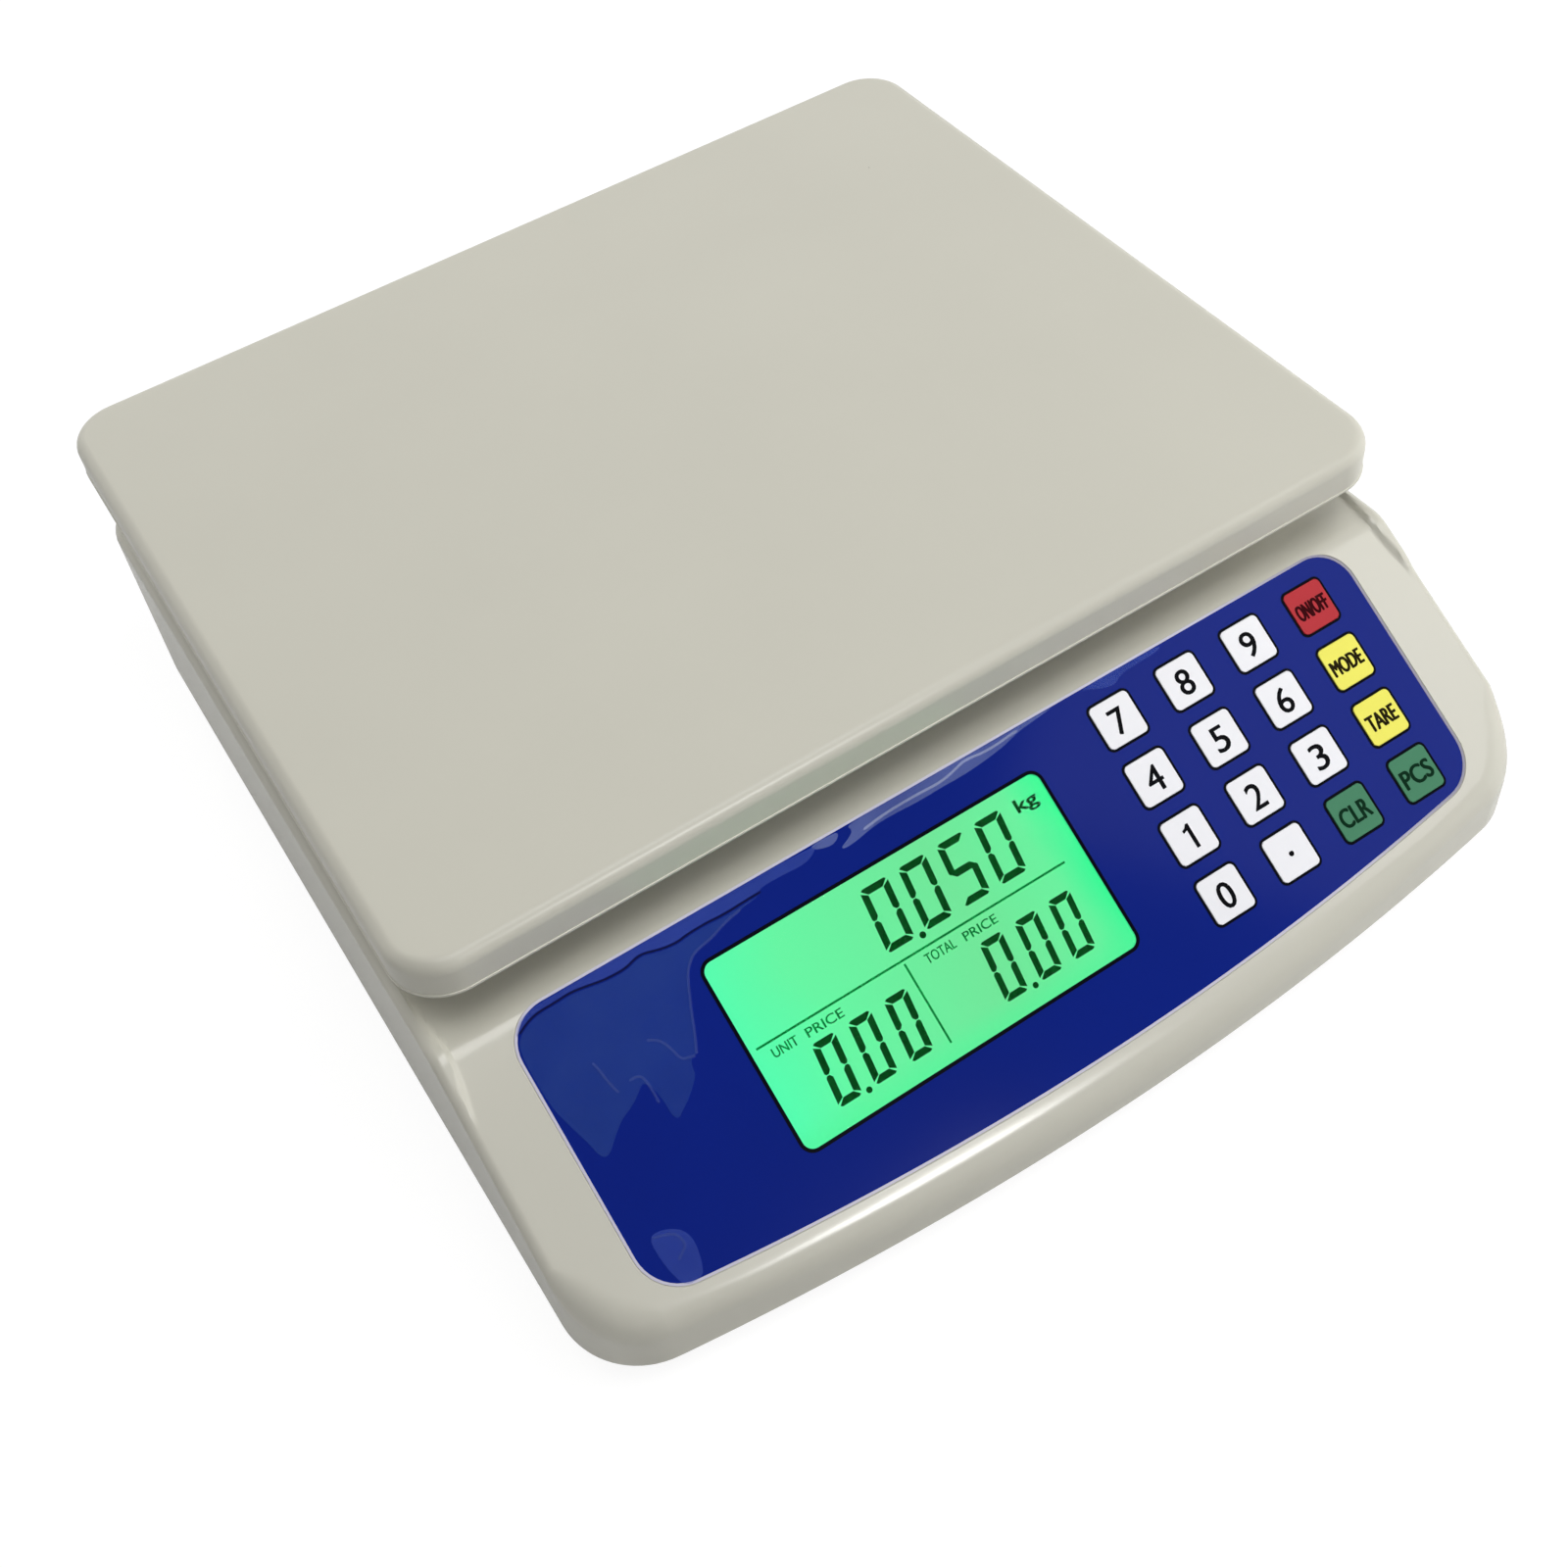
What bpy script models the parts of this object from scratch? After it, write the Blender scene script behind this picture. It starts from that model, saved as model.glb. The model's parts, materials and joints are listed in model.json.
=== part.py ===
"""Counting scale: a low moulded casing with a sloping keypad and display at the front,
and a flat weighing platform carried by a load cell.

Metres, +Z up, X across the scale, -Y towards the user. The origin is on the ground, under
the middle of the scale. Panel pieces live in the panel's own frame: local X across, local Y
up the slope from the top edge of the keypad, local Z straight out of the panel.
"""
import math

import bmesh
import bpy
from mathutils import Matrix, Vector

MM = 0.001
GAP = 0.3 * MM                      # air left between neighbouring pieces

# Weighing platform
PLATFORM_WIDTH = 216.6 * MM
PLATFORM_DEPTH = 177.8 * MM
PLATFORM_TOP = 70.0 * MM            # height of the weighing surface
PLATFORM_RIM = 8.5 * MM
PLATFORM_CORNER = 11.0 * MM
PLATFORM_WALL = 2.5 * MM
PLATFORM_EDGE = 2.8 * MM            # rounding of its top edge

# Casing outline at its lower edge
CASE_WIDTH = 222.0 * MM
CASE_FRONT = -118.6 * MM            # middle of the bowed front
CASE_BACK = 117.6 * MM
BOW_RADIUS = 676.0 * MM
FRONT_CORNER = 17.0 * MM
BACK_CORNER = 17.0 * MM
SKIRT_Z = 7.0 * MM                  # lower edge of the upper casing
DECK_Z = 49.2 * MM                  # flat top under the platform
WALL = 2.5 * MM
DRAFT = math.radians(2.3)
EDGE_ROUND = 6.0 * MM               # widest rounding, at the front corners
SIDE_ROUND = 0.32                   # share of it along the sides and the back
LIP_ROUND = 0.85                    # share of it along the front lip

# Keypad and display panel
PANEL_TILT = math.radians(30.1)
PANEL_FOLD_Y = -59.8 * MM           # where the deck turns down into the panel
OVERLAY_WIDTH = 191.6 * MM
OVERLAY_LENGTH = 61.2 * MM          # down the slope, in the middle
OVERLAY_BOW = 667.0 * MM
OVERLAY_TOP_CORNER = 8.0 * MM
OVERLAY_LOW_CORNER = 9.0 * MM
OVERLAY_THICK = 0.6 * MM
RECESS = 1.0 * MM
WINDOW = (-60.3 * MM, 14.3 * MM, -47.1 * MM, -9.3 * MM)   # left, right, low, high
WINDOW_CORNER = 2.0 * MM
KEY_SIZE = 9.2 * MM
KEY_CORNER = 1.1 * MM
KEY_FIRST = (34.65 * MM, -9.0 * MM)
KEY_PITCH = (16.4 * MM, 13.0 * MM)
KEY_PROUD = 0.1 * MM
KEY_FOOT = 3.4 * MM                 # depth of a key's flange below the panel face
KEY_FLANGE = 0.6 * MM
DOME_TOP = 4.1 * MM
BOARD_TOP = 7.5 * MM
BOARD_THICK = 1.6 * MM
BOARD_X = (-84.0 * MM, 87.5 * MM)
BOARD_Y = (-51.3 * MM, -5.0 * MM)
BOARD_SCREW_Y = (-46.0 * MM, -11.0 * MM)
BOARD_BOSS = 2.3 * MM               # radius
LCD_TOP = 1.2 * MM                  # below the panel face
LCD_THICK = 2.2 * MM
LCD_MARGIN = 1.0 * MM               # how far the glass reaches past the window
BUZZER_PLACE = (-48.0 * MM, -30.0 * MM)
BUZZER_RADIUS = 6.0 * MM

# Weighing mechanism
CELL_LENGTH = 110.0 * MM
CELL_WIDTH = 22.0 * MM
CELL_HEIGHT = 22.0 * MM
CELL_BORE = 8.0 * MM                # radius of the two bores that let it flex
CELL_BORE_X = 11.0 * MM
CELL_SLOT = 3.0 * MM                # half the height of the slot between them
BASE_Z = 4.0 * MM                   # underside of the lower casing
BASE_TOP = 7.0 * MM
BLOCK = 3.7 * MM                    # spacer between the cell's fixed end and the base
TOP_BLOCK = 3.0 * MM
SINK_GAP = 0.6 * MM                 # room for the live end to sink under load
SUPPORT_THICK = 3.0 * MM
SUPPORT_BEAM = 16.0 * MM            # half the width of its middle plate
SUPPORT_RAIL = 8.0 * MM             # half the width of its two side rails
POST_X = 70.0 * MM
POST_SPAN_Y = 80.0 * MM
POST_RADIUS = 6.4 * MM
POST_HOLE = 8.2 * MM                # radius
PAD_RADIUS = 6.4 * MM
PAD_THICK = 3.0 * MM
PAD_SOCKET_WALL = 2.1 * MM
PAD_SOCKET_DEPTH = 5.4 * MM
RIB_HALF = 0.8 * MM
RIB_DEPTH = 4.0 * MM

# Power socket, battery bay, fasteners and feet
SOCKET_RADIUS = 3.8 * MM
SOCKET_PLACE = (74.0 * MM, CASE_BACK - WALL - 1.2 * MM, 24.0 * MM)
BATTERY = (97.0 * MM, 51.0 * MM, 24.0 * MM)
BATTERY_Y = 81.0 * MM
BATTERY_ROOM = 0.6 * MM
COVER = (119.4 * MM, 57.4 * MM, 2.2 * MM)
COVER_SCREW_X = 55.6 * MM
BAY_RIB_OFFSET = 1.8 * MM           # from the battery's end to the middle of a rib
BAY_RIB_HALF = 0.9 * MM
FOOT_RADIUS = 8.0 * MM
FOOT_STEM = 2.4 * MM
FOOT_X = 88.0 * MM
FOOT_Y = (-84.0 * MM, 86.0 * MM)
CASE_BOSS_XY = [(98.0 * MM, -74.0 * MM), (98.0 * MM, 28.0 * MM), (96.0 * MM, 99.0 * MM)]
CASE_BOSS = 4.0 * MM                # radius
# Screws and bolts: head radius, head height, shank radius, length under the head
CASE_SCREW = (2.8 * MM, 1.2 * MM, 1.3 * MM, 11.0 * MM)
COVER_SCREW = (2.5 * MM, 0.9 * MM, 1.1 * MM, 6.5 * MM)
BOARD_SCREW = (2.2 * MM, 1.4 * MM, 1.0 * MM, 6.0 * MM)
CELL_BOLT = (4.2 * MM, 2.3 * MM, 2.2 * MM, 16.0 * MM)
SCREW_PLAY = 0.4 * MM               # air around a shank or a sunk head
CASE_SEAT = 1.8 * MM                # depth of the sunk seat for a head
COVER_SEAT = 1.3 * MM
ROUND = 16                          # sides of a small turned piece

KEY_NAMES = [
    ["key_7", "key_8", "key_9", "key_on_off"],
    ["key_4", "key_5", "key_6", "key_mode"],
    ["key_1", "key_2", "key_3", "key_tare"],
    ["key_0", "key_point", "key_clear", "key_pieces"],
]
KEY_FINISHES = {
    "key_white": (0.83, 0.85, 0.88), "key_red": (0.50, 0.04, 0.05),
    "key_yellow": (0.85, 0.75, 0.09), "key_green": (0.06, 0.25, 0.10),
}
COLOURED_KEYS = {"key_on_off": "key_red", "key_mode": "key_yellow", "key_tare": "key_yellow",
                 "key_clear": "key_green", "key_pieces": "key_green"}

PLATFORM_UNDER = PLATFORM_TOP - PLATFORM_WALL
PLATFORM_MID_Y = PANEL_FOLD_Y + 0.7 * MM + PLATFORM_DEPTH / 2
CELL_Z = BASE_TOP + GAP + BLOCK + GAP
TOP_BLOCK_Z = CELL_Z + CELL_HEIGHT + SINK_GAP
SUPPORT_Z = TOP_BLOCK_Z + TOP_BLOCK + GAP
PAD_Z = PLATFORM_UNDER - GAP - PAD_THICK


def clear_scene():
    for thing in list(bpy.data.objects):
        bpy.data.objects.remove(thing, do_unlink=True)


def collection(name):
    group = bpy.data.collections.new(name)
    bpy.context.scene.collection.children.link(group)
    return group


clear_scene()
PARTS = collection("counting_scale")
CUTTERS = collection("cutters")


def material(name, colour, roughness, metallic=0.0):
    made = bpy.data.materials.get(name)
    if made:
        return made
    made = bpy.data.materials.new(name)
    made.use_nodes = True
    shader = made.node_tree.nodes["Principled BSDF"]
    shader.inputs["Base Color"].default_value = (*colour, 1.0)
    shader.inputs["Roughness"].default_value = roughness
    shader.inputs["Metallic"].default_value = metallic
    return made


def casing_plastic():
    return material("casing_plastic", (0.55, 0.53, 0.45), 0.42)


def steel():
    return material("zinc_steel", (0.62, 0.62, 0.60), 0.35, 1.0)


def aluminium():
    return material("aluminium", (0.75, 0.76, 0.77), 0.38, 1.0)


def rubber():
    return material("rubber", (0.03, 0.03, 0.03), 0.75)


def add_object(name, bm, finish=None, parent=None, group=None):
    """Closes a bmesh into a named object; a piece with no finish is a cutter."""
    bmesh.ops.recalc_face_normals(bm, faces=bm.faces)
    mesh = bpy.data.meshes.new(name)
    bm.to_mesh(mesh)
    bm.free()
    piece = bpy.data.objects.new(name, mesh)
    (group or (PARTS if finish else CUTTERS)).objects.link(piece)
    if finish:
        mesh.materials.append(finish)
    else:
        piece.hide_render = True
        piece.display_type = 'WIRE'
    piece.parent = parent
    return piece


def add_boolean(piece, operation, other):
    cut = piece.modifiers.new(operation.lower() + "_" + other.name, 'BOOLEAN')
    cut.operation = operation
    cut.object = other
    return cut


def add_bevel(piece, width, segments, angle=math.radians(40)):
    bevel = piece.modifiers.new("rounded_edges", 'BEVEL')
    bevel.width = width
    bevel.segments = segments
    bevel.limit_method = 'ANGLE'
    bevel.angle_limit = angle
    return bevel


def box(bm, x, y, z):
    """Adds a box; x, y and z are (low, high) pairs."""
    size = Matrix.Diagonal((x[1] - x[0], y[1] - y[0], z[1] - z[0], 1))
    middle = Matrix.Translation(((x[0] + x[1]) / 2, (y[0] + y[1]) / 2, (z[0] + z[1]) / 2))
    bmesh.ops.create_cube(bm, size=1.0, matrix=middle @ size)


def cylinder(bm, x, y, radius, z, sides=ROUND):
    middle = Matrix.Translation((x, y, (z[0] + z[1]) / 2))
    bmesh.ops.create_cone(bm, cap_ends=True, segments=sides, radius1=radius, radius2=radius,
                          depth=z[1] - z[0], matrix=middle)


def loft(bm, *sections):
    """Adds the solid through like outlines, each given with its height, from the lowest up."""
    rings = [[bm.verts.new((x, y, z)) for x, y in outline] for outline, z in sections]
    bm.faces.new(rings[0][::-1])
    bm.faces.new(rings[-1])
    for under, over in zip(rings, rings[1:]):
        for i in range(len(under)):
            bm.faces.new((under[i - 1], under[i], over[i], over[i - 1]))


def prism(bm, outline, z):
    """Adds an upright solid with that outline; z is its (low, high) pair."""
    loft(bm, (outline, z[0]), (outline, z[1]))


def arc(centre, radius, start, end, steps):
    angles = [start + (end - start) * step / steps for step in range(steps + 1)]
    return [(centre[0] + radius * math.cos(a), centre[1] + radius * math.sin(a)) for a in angles]


def rounded_rectangle(x, y, radius, steps=5):
    """Outline of a rectangle with round corners; x and y are (low, high) pairs."""
    corners = [(x[1], y[0], -0.5), (x[1], y[1], 0.0), (x[0], y[1], 0.5), (x[0], y[0], 1.0)]
    points = []
    for cx, cy, turn in corners:
        centre = (cx + (radius if cx == x[0] else -radius), cy + (radius if cy == y[0] else -radius))
        points += arc(centre, radius, turn * math.pi, (turn + 0.5) * math.pi, steps)
    return points


def bowed_outline(half, front, back, bow, front_round, back_round, inset=0.0, bow_steps=14, steps=6):
    """Plan outline with straight sides, a bowed front and four round corners."""
    half, back, bow_centre = half - inset, back - inset, front + bow
    bow, front_round, back_round = bow - inset, front_round - inset, back_round - inset
    corner_x = half - front_round
    corner_y = bow_centre - math.sqrt((bow - front_round) ** 2 - corner_x ** 2)
    meet = math.atan2(corner_y - bow_centre, corner_x)
    points = arc((0.0, bow_centre), bow, -math.pi - meet, meet, bow_steps)[1:-1]
    points += arc((corner_x, corner_y), front_round, meet, 0.0, steps)
    points += arc((half - back_round, back - back_round), back_round, 0.0, math.pi / 2, steps)
    points += arc((back_round - half, back - back_round), back_round, math.pi / 2, math.pi, steps)
    points += arc((-corner_x, corner_y), front_round, -math.pi, -math.pi - meet, steps)
    return points


def casing_outline(inset=0.0):
    return bowed_outline(CASE_WIDTH / 2, CASE_FRONT, CASE_BACK, BOW_RADIUS, FRONT_CORNER,
                         BACK_CORNER, inset)


def overlay_outline(inset=0.0):
    return bowed_outline(OVERLAY_WIDTH / 2, -OVERLAY_LENGTH, 0.0, OVERLAY_BOW,
                         OVERLAY_LOW_CORNER, OVERLAY_TOP_CORNER, inset)


def turned(name, profile, finish, place, parent=None, sides=ROUND):
    """Turned solid; the profile is (radius, z) points from its top, down its outer side."""
    mesh = bpy.data.meshes.new(name)
    points = [(radius, 0.0, z) for radius, z in profile]
    mesh.from_pydata(points, [(i, i + 1) for i in range(len(points) - 1)], [])
    mesh.materials.append(finish)
    piece = bpy.data.objects.new(name, mesh)
    PARTS.objects.link(piece)
    screw = piece.modifiers.new("turning", 'SCREW')
    screw.steps = screw.render_steps = sides
    screw.use_merge_vertices = True
    screw.merge_threshold = 0.00001
    screw.use_smooth_shade = False
    piece.parent = parent
    piece.location = place
    return piece


def screw_profile(sizes):
    """Pan head at the top, with its seat at z = 0 and the shank hanging below."""
    head_radius, head_height, shank_radius, length = sizes
    return [(0.0, head_height), (head_radius * 0.8, head_height), (head_radius, head_height * 0.6),
            (head_radius, 0.0), (shank_radius, 0.0), (shank_radius, -length * 0.9),
            (0.0, -length)]


def shank_hole(sizes):
    """Radius of the hole that a screw's shank passes through."""
    return sizes[2] + SCREW_PLAY


def head_seat(sizes):
    """Radius of the sunk seat for a screw's head."""
    return sizes[0] + SCREW_PLAY


def panel_frame():
    frame = bpy.data.objects.new("panel_frame", None)
    CUTTERS.objects.link(frame)
    frame.location = (0.0, PANEL_FOLD_Y, DECK_Z)
    frame.rotation_euler = (PANEL_TILT, 0.0, 0.0)
    return frame


PANEL = panel_frame()


def key_places():
    for row, names in enumerate(KEY_NAMES):
        for column, name in enumerate(names):
            x = KEY_FIRST[0] + column * KEY_PITCH[0]
            y = KEY_FIRST[1] - row * KEY_PITCH[1]
            yield name, x, y


def square(x, y, half):
    return (x - half, x + half), (y - half, y + half)


def cut_off_top(bm, sink):
    """Cuts solids off at the deck and at the panel, both planes sunk into the casing by sink."""
    normal = Vector((0.0, -math.sin(PANEL_TILT), math.cos(PANEL_TILT)))
    fold = Vector((0.0, PANEL_FOLD_Y, DECK_Z))
    planes = [(fold - Vector((0, 0, sink)), Vector((0, 0, 1))), (fold - normal * sink, normal)]
    for point, facing in planes:
        geometry = bm.verts[:] + bm.edges[:] + bm.faces[:]
        cut = bmesh.ops.bisect_plane(bm, geom=geometry, dist=1e-7, plane_co=point,
                                     plane_no=facing, clear_outer=True)["geom_cut"]
        edges = [item for item in cut if isinstance(item, bmesh.types.BMEdge)]
        bmesh.ops.holes_fill(bm, edges=edges)
    bmesh.ops.remove_doubles(bm, verts=bm.verts, dist=1e-7)
    bmesh.ops.recalc_face_normals(bm, faces=bm.faces)


def casing_body(bm, inset, z_low, sink):
    """Drafted casing body, closed by the deck and the panel, both sunk by sink."""
    z_high = DECK_Z + 10 * MM
    lean = math.tan(DRAFT)
    low = casing_outline(inset + (z_low - SKIRT_Z) * lean)
    high = casing_outline(inset + (z_high - SKIRT_Z) * lean)
    loft(bm, (low, z_low), (high, z_high))
    cut_off_top(bm, sink)


def weight_rounding(bm):
    """Marks the top edge of the casing for rounding: slight at the sides, full at the front."""
    layer = bm.edges.layers.float.new("bevel_weight_edge")
    corner_start = CASE_FRONT + 22 * MM
    corner_end = CASE_FRONT + 9 * MM
    for edge in bm.edges:
        tilts = sorted(face.normal.z for face in edge.link_faces)
        if len(tilts) < 2 or not (tilts[0] < 0.3 and tilts[1] > 0.8):
            continue
        y = (edge.verts[0].co.y + edge.verts[1].co.y) / 2
        blend = min(1.0, max(0.0, (corner_start - y) / (corner_start - corner_end)))
        edge[layer] = SIDE_ROUND + (LIP_ROUND - SIDE_ROUND) * blend


def case_boss_places():
    for x, y in CASE_BOSS_XY:
        for side in (-1, 1):
            yield side * x, y


def board_screw_places():
    """Left of the display, between it and the keys, and between the last two key columns."""
    right = KEY_FIRST[0] + 2.5 * KEY_PITCH[0]
    return [(x, y) for x in (BOARD_X[0] + 4 * MM, 22.0 * MM, right) for y in BOARD_SCREW_Y]


def make_upper_casing():
    bm = bmesh.new()
    casing_body(bm, 0.0, SKIRT_Z, 0.0)
    weight_rounding(bm)
    casing = add_object("upper_casing", bm, casing_plastic())
    bevel = add_bevel(casing, EDGE_ROUND, 3)
    bevel.limit_method = 'WEIGHT'

    bm = bmesh.new()
    casing_body(bm, WALL, SKIRT_Z - 3 * MM, WALL)
    add_boolean(casing, 'DIFFERENCE', add_object("casing_hollow", bm))

    bm = bmesh.new()
    for x, y in case_boss_places():
        cylinder(bm, x, y, CASE_BOSS, (BASE_TOP + GAP, DECK_Z + 5 * MM))
    cut_off_top(bm, WALL * 0.4)
    add_boolean(casing, 'UNION', add_object("case_bosses", bm))

    bm = bmesh.new()
    for x, y in board_screw_places():
        cylinder(bm, x, y, BOARD_BOSS, (GAP - BOARD_TOP, -WALL * 0.6), 12)
    add_boolean(casing, 'UNION', add_object("board_bosses", bm, parent=PANEL))

    bm = bmesh.new()
    for x, y in case_boss_places():
        cylinder(bm, x, y, shank_hole(CASE_SCREW), (BASE_TOP - 1 * MM, BASE_TOP + 12 * MM), 12)
    for x, y in post_places():
        cylinder(bm, x, y, POST_HOLE, (DECK_Z - 5 * MM, DECK_Z + 1 * MM), 24)
    add_boolean(casing, 'DIFFERENCE', add_object("deck_and_boss_holes", bm))

    bm = bmesh.new()
    prism(bm, overlay_outline(-GAP), (-RECESS, 2 * MM))
    add_boolean(casing, 'DIFFERENCE', add_object("overlay_recess", bm, parent=PANEL))

    bm = bmesh.new()
    margin = 1.4 * MM
    box(bm, (WINDOW[0] - margin, WINDOW[1] + margin), (WINDOW[2] - margin, WINDOW[3] + margin),
        (-4 * MM, 1 * MM))
    for _, x, y in key_places():
        across, along = square(x, y, KEY_SIZE / 2 + GAP)
        box(bm, across, along, (-4 * MM, 1 * MM))
    for x, y in board_screw_places():
        cylinder(bm, x, y, shank_hole(BOARD_SCREW), (-BOARD_TOP - 1 * MM, -WALL + 0.2 * MM), 8)
    add_boolean(casing, 'DIFFERENCE', add_object("panel_openings", bm, parent=PANEL))

    bm = bmesh.new()
    cylinder(bm, 0.0, 0.0, SOCKET_RADIUS + GAP, (-6 * MM, 6 * MM), ROUND)
    hole = add_object("socket_hole", bm)
    hole.location = SOCKET_PLACE
    hole.rotation_euler = (math.pi / 2, 0.0, 0.0)
    add_boolean(casing, 'DIFFERENCE', hole)


def post_places():
    """The four posts that carry the platform, front pair first."""
    rows = (PLATFORM_MID_Y - POST_SPAN_Y / 2, PLATFORM_MID_Y + POST_SPAN_Y / 2)
    return [(x, y) for y in rows for x in (-POST_X, POST_X)]


def cell_bolt_places(side):
    """The two bolts at one end of the load cell."""
    outer = CELL_LENGTH / 2 - 7 * MM
    return [(side * outer, PLATFORM_MID_Y), (side * (outer - 12 * MM), PLATFORM_MID_Y)]


def foot_places():
    return [(x, y) for y in FOOT_Y for x in (-FOOT_X, FOOT_X)]


def battery_area(margin):
    """Plan of the battery, grown by margin all round, as (x, y) pairs."""
    half_x, half_y = BATTERY[0] / 2 + margin, BATTERY[1] / 2 + margin
    return (-half_x, half_x), (BATTERY_Y - half_y, BATTERY_Y + half_y)


def cover_area(margin):
    """Plan of the battery cover, grown by margin all round, as (x, y) pairs."""
    half_x, half_y = COVER[0] / 2 + margin, COVER[1] / 2 + margin
    return (-half_x, half_x), (BATTERY_Y - half_y, BATTERY_Y + half_y)


def make_lower_casing():
    wall, edge, rise = 2.0 * MM, 1.5 * MM, 8.0 * MM
    outer = casing_outline(WALL + 0.5 * MM)
    bm = bmesh.new()
    loft(bm, (casing_outline(WALL + edge), BASE_Z), (outer, BASE_Z + edge), (outer, BASE_Z + rise))
    casing = add_object("lower_casing", bm, casing_plastic())
    bm = bmesh.new()
    prism(bm, casing_outline(WALL + 0.5 * MM + wall), (BASE_TOP, BASE_TOP + 10 * MM))
    add_boolean(casing, 'DIFFERENCE', add_object("tray_hollow", bm))

    bm = bmesh.new()
    box(bm, *cover_area(1.5 * MM), (BASE_TOP - 1 * MM, BASE_TOP + 1.5 * MM))
    add_boolean(casing, 'UNION', add_object("battery_bay_frame", bm))
    bm = bmesh.new()
    for side in (-1, 1):
        cylinder(bm, side * COVER_SCREW_X, BATTERY_Y, 3.0 * MM, (BASE_TOP, BASE_TOP + 5 * MM), 12)
        middle = side * (BATTERY[0] / 2 + BAY_RIB_OFFSET)
        across = (middle - BAY_RIB_HALF, middle + BAY_RIB_HALF)
        for near, far in ((-22 * MM, -8 * MM), (8 * MM, 22 * MM)):
            box(bm, across, (BATTERY_Y + near, BATTERY_Y + far), (BASE_TOP, BASE_TOP + 12 * MM))
    add_boolean(casing, 'UNION', add_object("battery_bay_ribs", bm))

    bm = bmesh.new()
    box(bm, *cover_area(GAP), (BASE_Z - 1 * MM, BASE_Z + COVER[2] + GAP))
    add_boolean(casing, 'DIFFERENCE', add_object("cover_seat", bm))
    through = (BASE_Z - 1 * MM, BASE_TOP + 1 * MM)
    bm = bmesh.new()
    box(bm, *battery_area(BATTERY_ROOM), (BASE_Z, BASE_TOP + 3 * MM))
    for side in (-1, 1):
        cylinder(bm, side * COVER_SCREW_X, BATTERY_Y, shank_hole(COVER_SCREW),
                 (BASE_Z, BASE_TOP + 7 * MM), 12)
    for x, y in cell_bolt_places(-1):
        cylinder(bm, x, y, shank_hole(CELL_BOLT), through, 12)
    for x, y in foot_places():
        cylinder(bm, x, y, FOOT_STEM + GAP, through, 12)
    for x, y in case_boss_places():
        cylinder(bm, x, y, shank_hole(CASE_SCREW), through, 12)
    add_boolean(casing, 'DIFFERENCE', add_object("base_holes", bm))
    bm = bmesh.new()
    for x, y in case_boss_places():
        cylinder(bm, x, y, head_seat(CASE_SCREW), (BASE_Z - 1 * MM, BASE_Z + CASE_SEAT))
    add_boolean(casing, 'DIFFERENCE', add_object("screw_head_seats", bm))


def make_battery():
    low = BASE_Z + COVER[2] + GAP + 0.3 * MM
    bm = bmesh.new()
    box(bm, *battery_area(0.0), (low, low + BATTERY[2]))
    battery = add_object("battery", bm, material("battery_case", (0.10, 0.11, 0.12), 0.5))
    add_bevel(battery, 1.2 * MM, 2)

    bm = bmesh.new()
    box(bm, *cover_area(0.0), (BASE_Z, BASE_Z + COVER[2]))
    cover = add_object("battery_cover", bm, casing_plastic())
    bm = bmesh.new()
    for side in (-1, 1):
        cylinder(bm, side * COVER_SCREW_X, BATTERY_Y, shank_hole(COVER_SCREW),
                 (BASE_Z - 1 * MM, BASE_TOP), 12)
    add_boolean(cover, 'DIFFERENCE', add_object("cover_holes", bm))
    bm = bmesh.new()
    for side in (-1, 1):
        cylinder(bm, side * COVER_SCREW_X, BATTERY_Y, head_seat(COVER_SCREW),
                 (BASE_Z - 1 * MM, BASE_Z + COVER_SEAT))
    add_boolean(cover, 'DIFFERENCE', add_object("cover_screw_seats", bm))


def make_overlay_and_window():
    top = -0.1 * MM
    bm = bmesh.new()
    prism(bm, overlay_outline(), (top - OVERLAY_THICK, top))
    overlay = add_object("graphic_overlay", bm, material("overlay_film", (0.016, 0.03, 0.25), 0.18),
                         parent=PANEL)
    bm = bmesh.new()
    left, right, low, high = WINDOW
    hole = rounded_rectangle((left - GAP, right + GAP), (low - GAP, high + GAP), WINDOW_CORNER, 4)
    prism(bm, hole, (-2 * MM, 2 * MM))
    for _, x, y in key_places():
        across, along = square(x, y, KEY_SIZE / 2 + GAP)
        prism(bm, rounded_rectangle(across, along, KEY_CORNER + GAP, 3), (-2 * MM, 2 * MM))
    add_boolean(overlay, 'DIFFERENCE', add_object("overlay_holes", bm, parent=PANEL))

    bm = bmesh.new()
    pane = rounded_rectangle((left, right), (low, high), WINDOW_CORNER, 4)
    prism(bm, pane, (top - OVERLAY_THICK, top))
    add_object("display_window", bm, material("clear_window", (0.8, 0.9, 0.85), 0.05), parent=PANEL)


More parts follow.
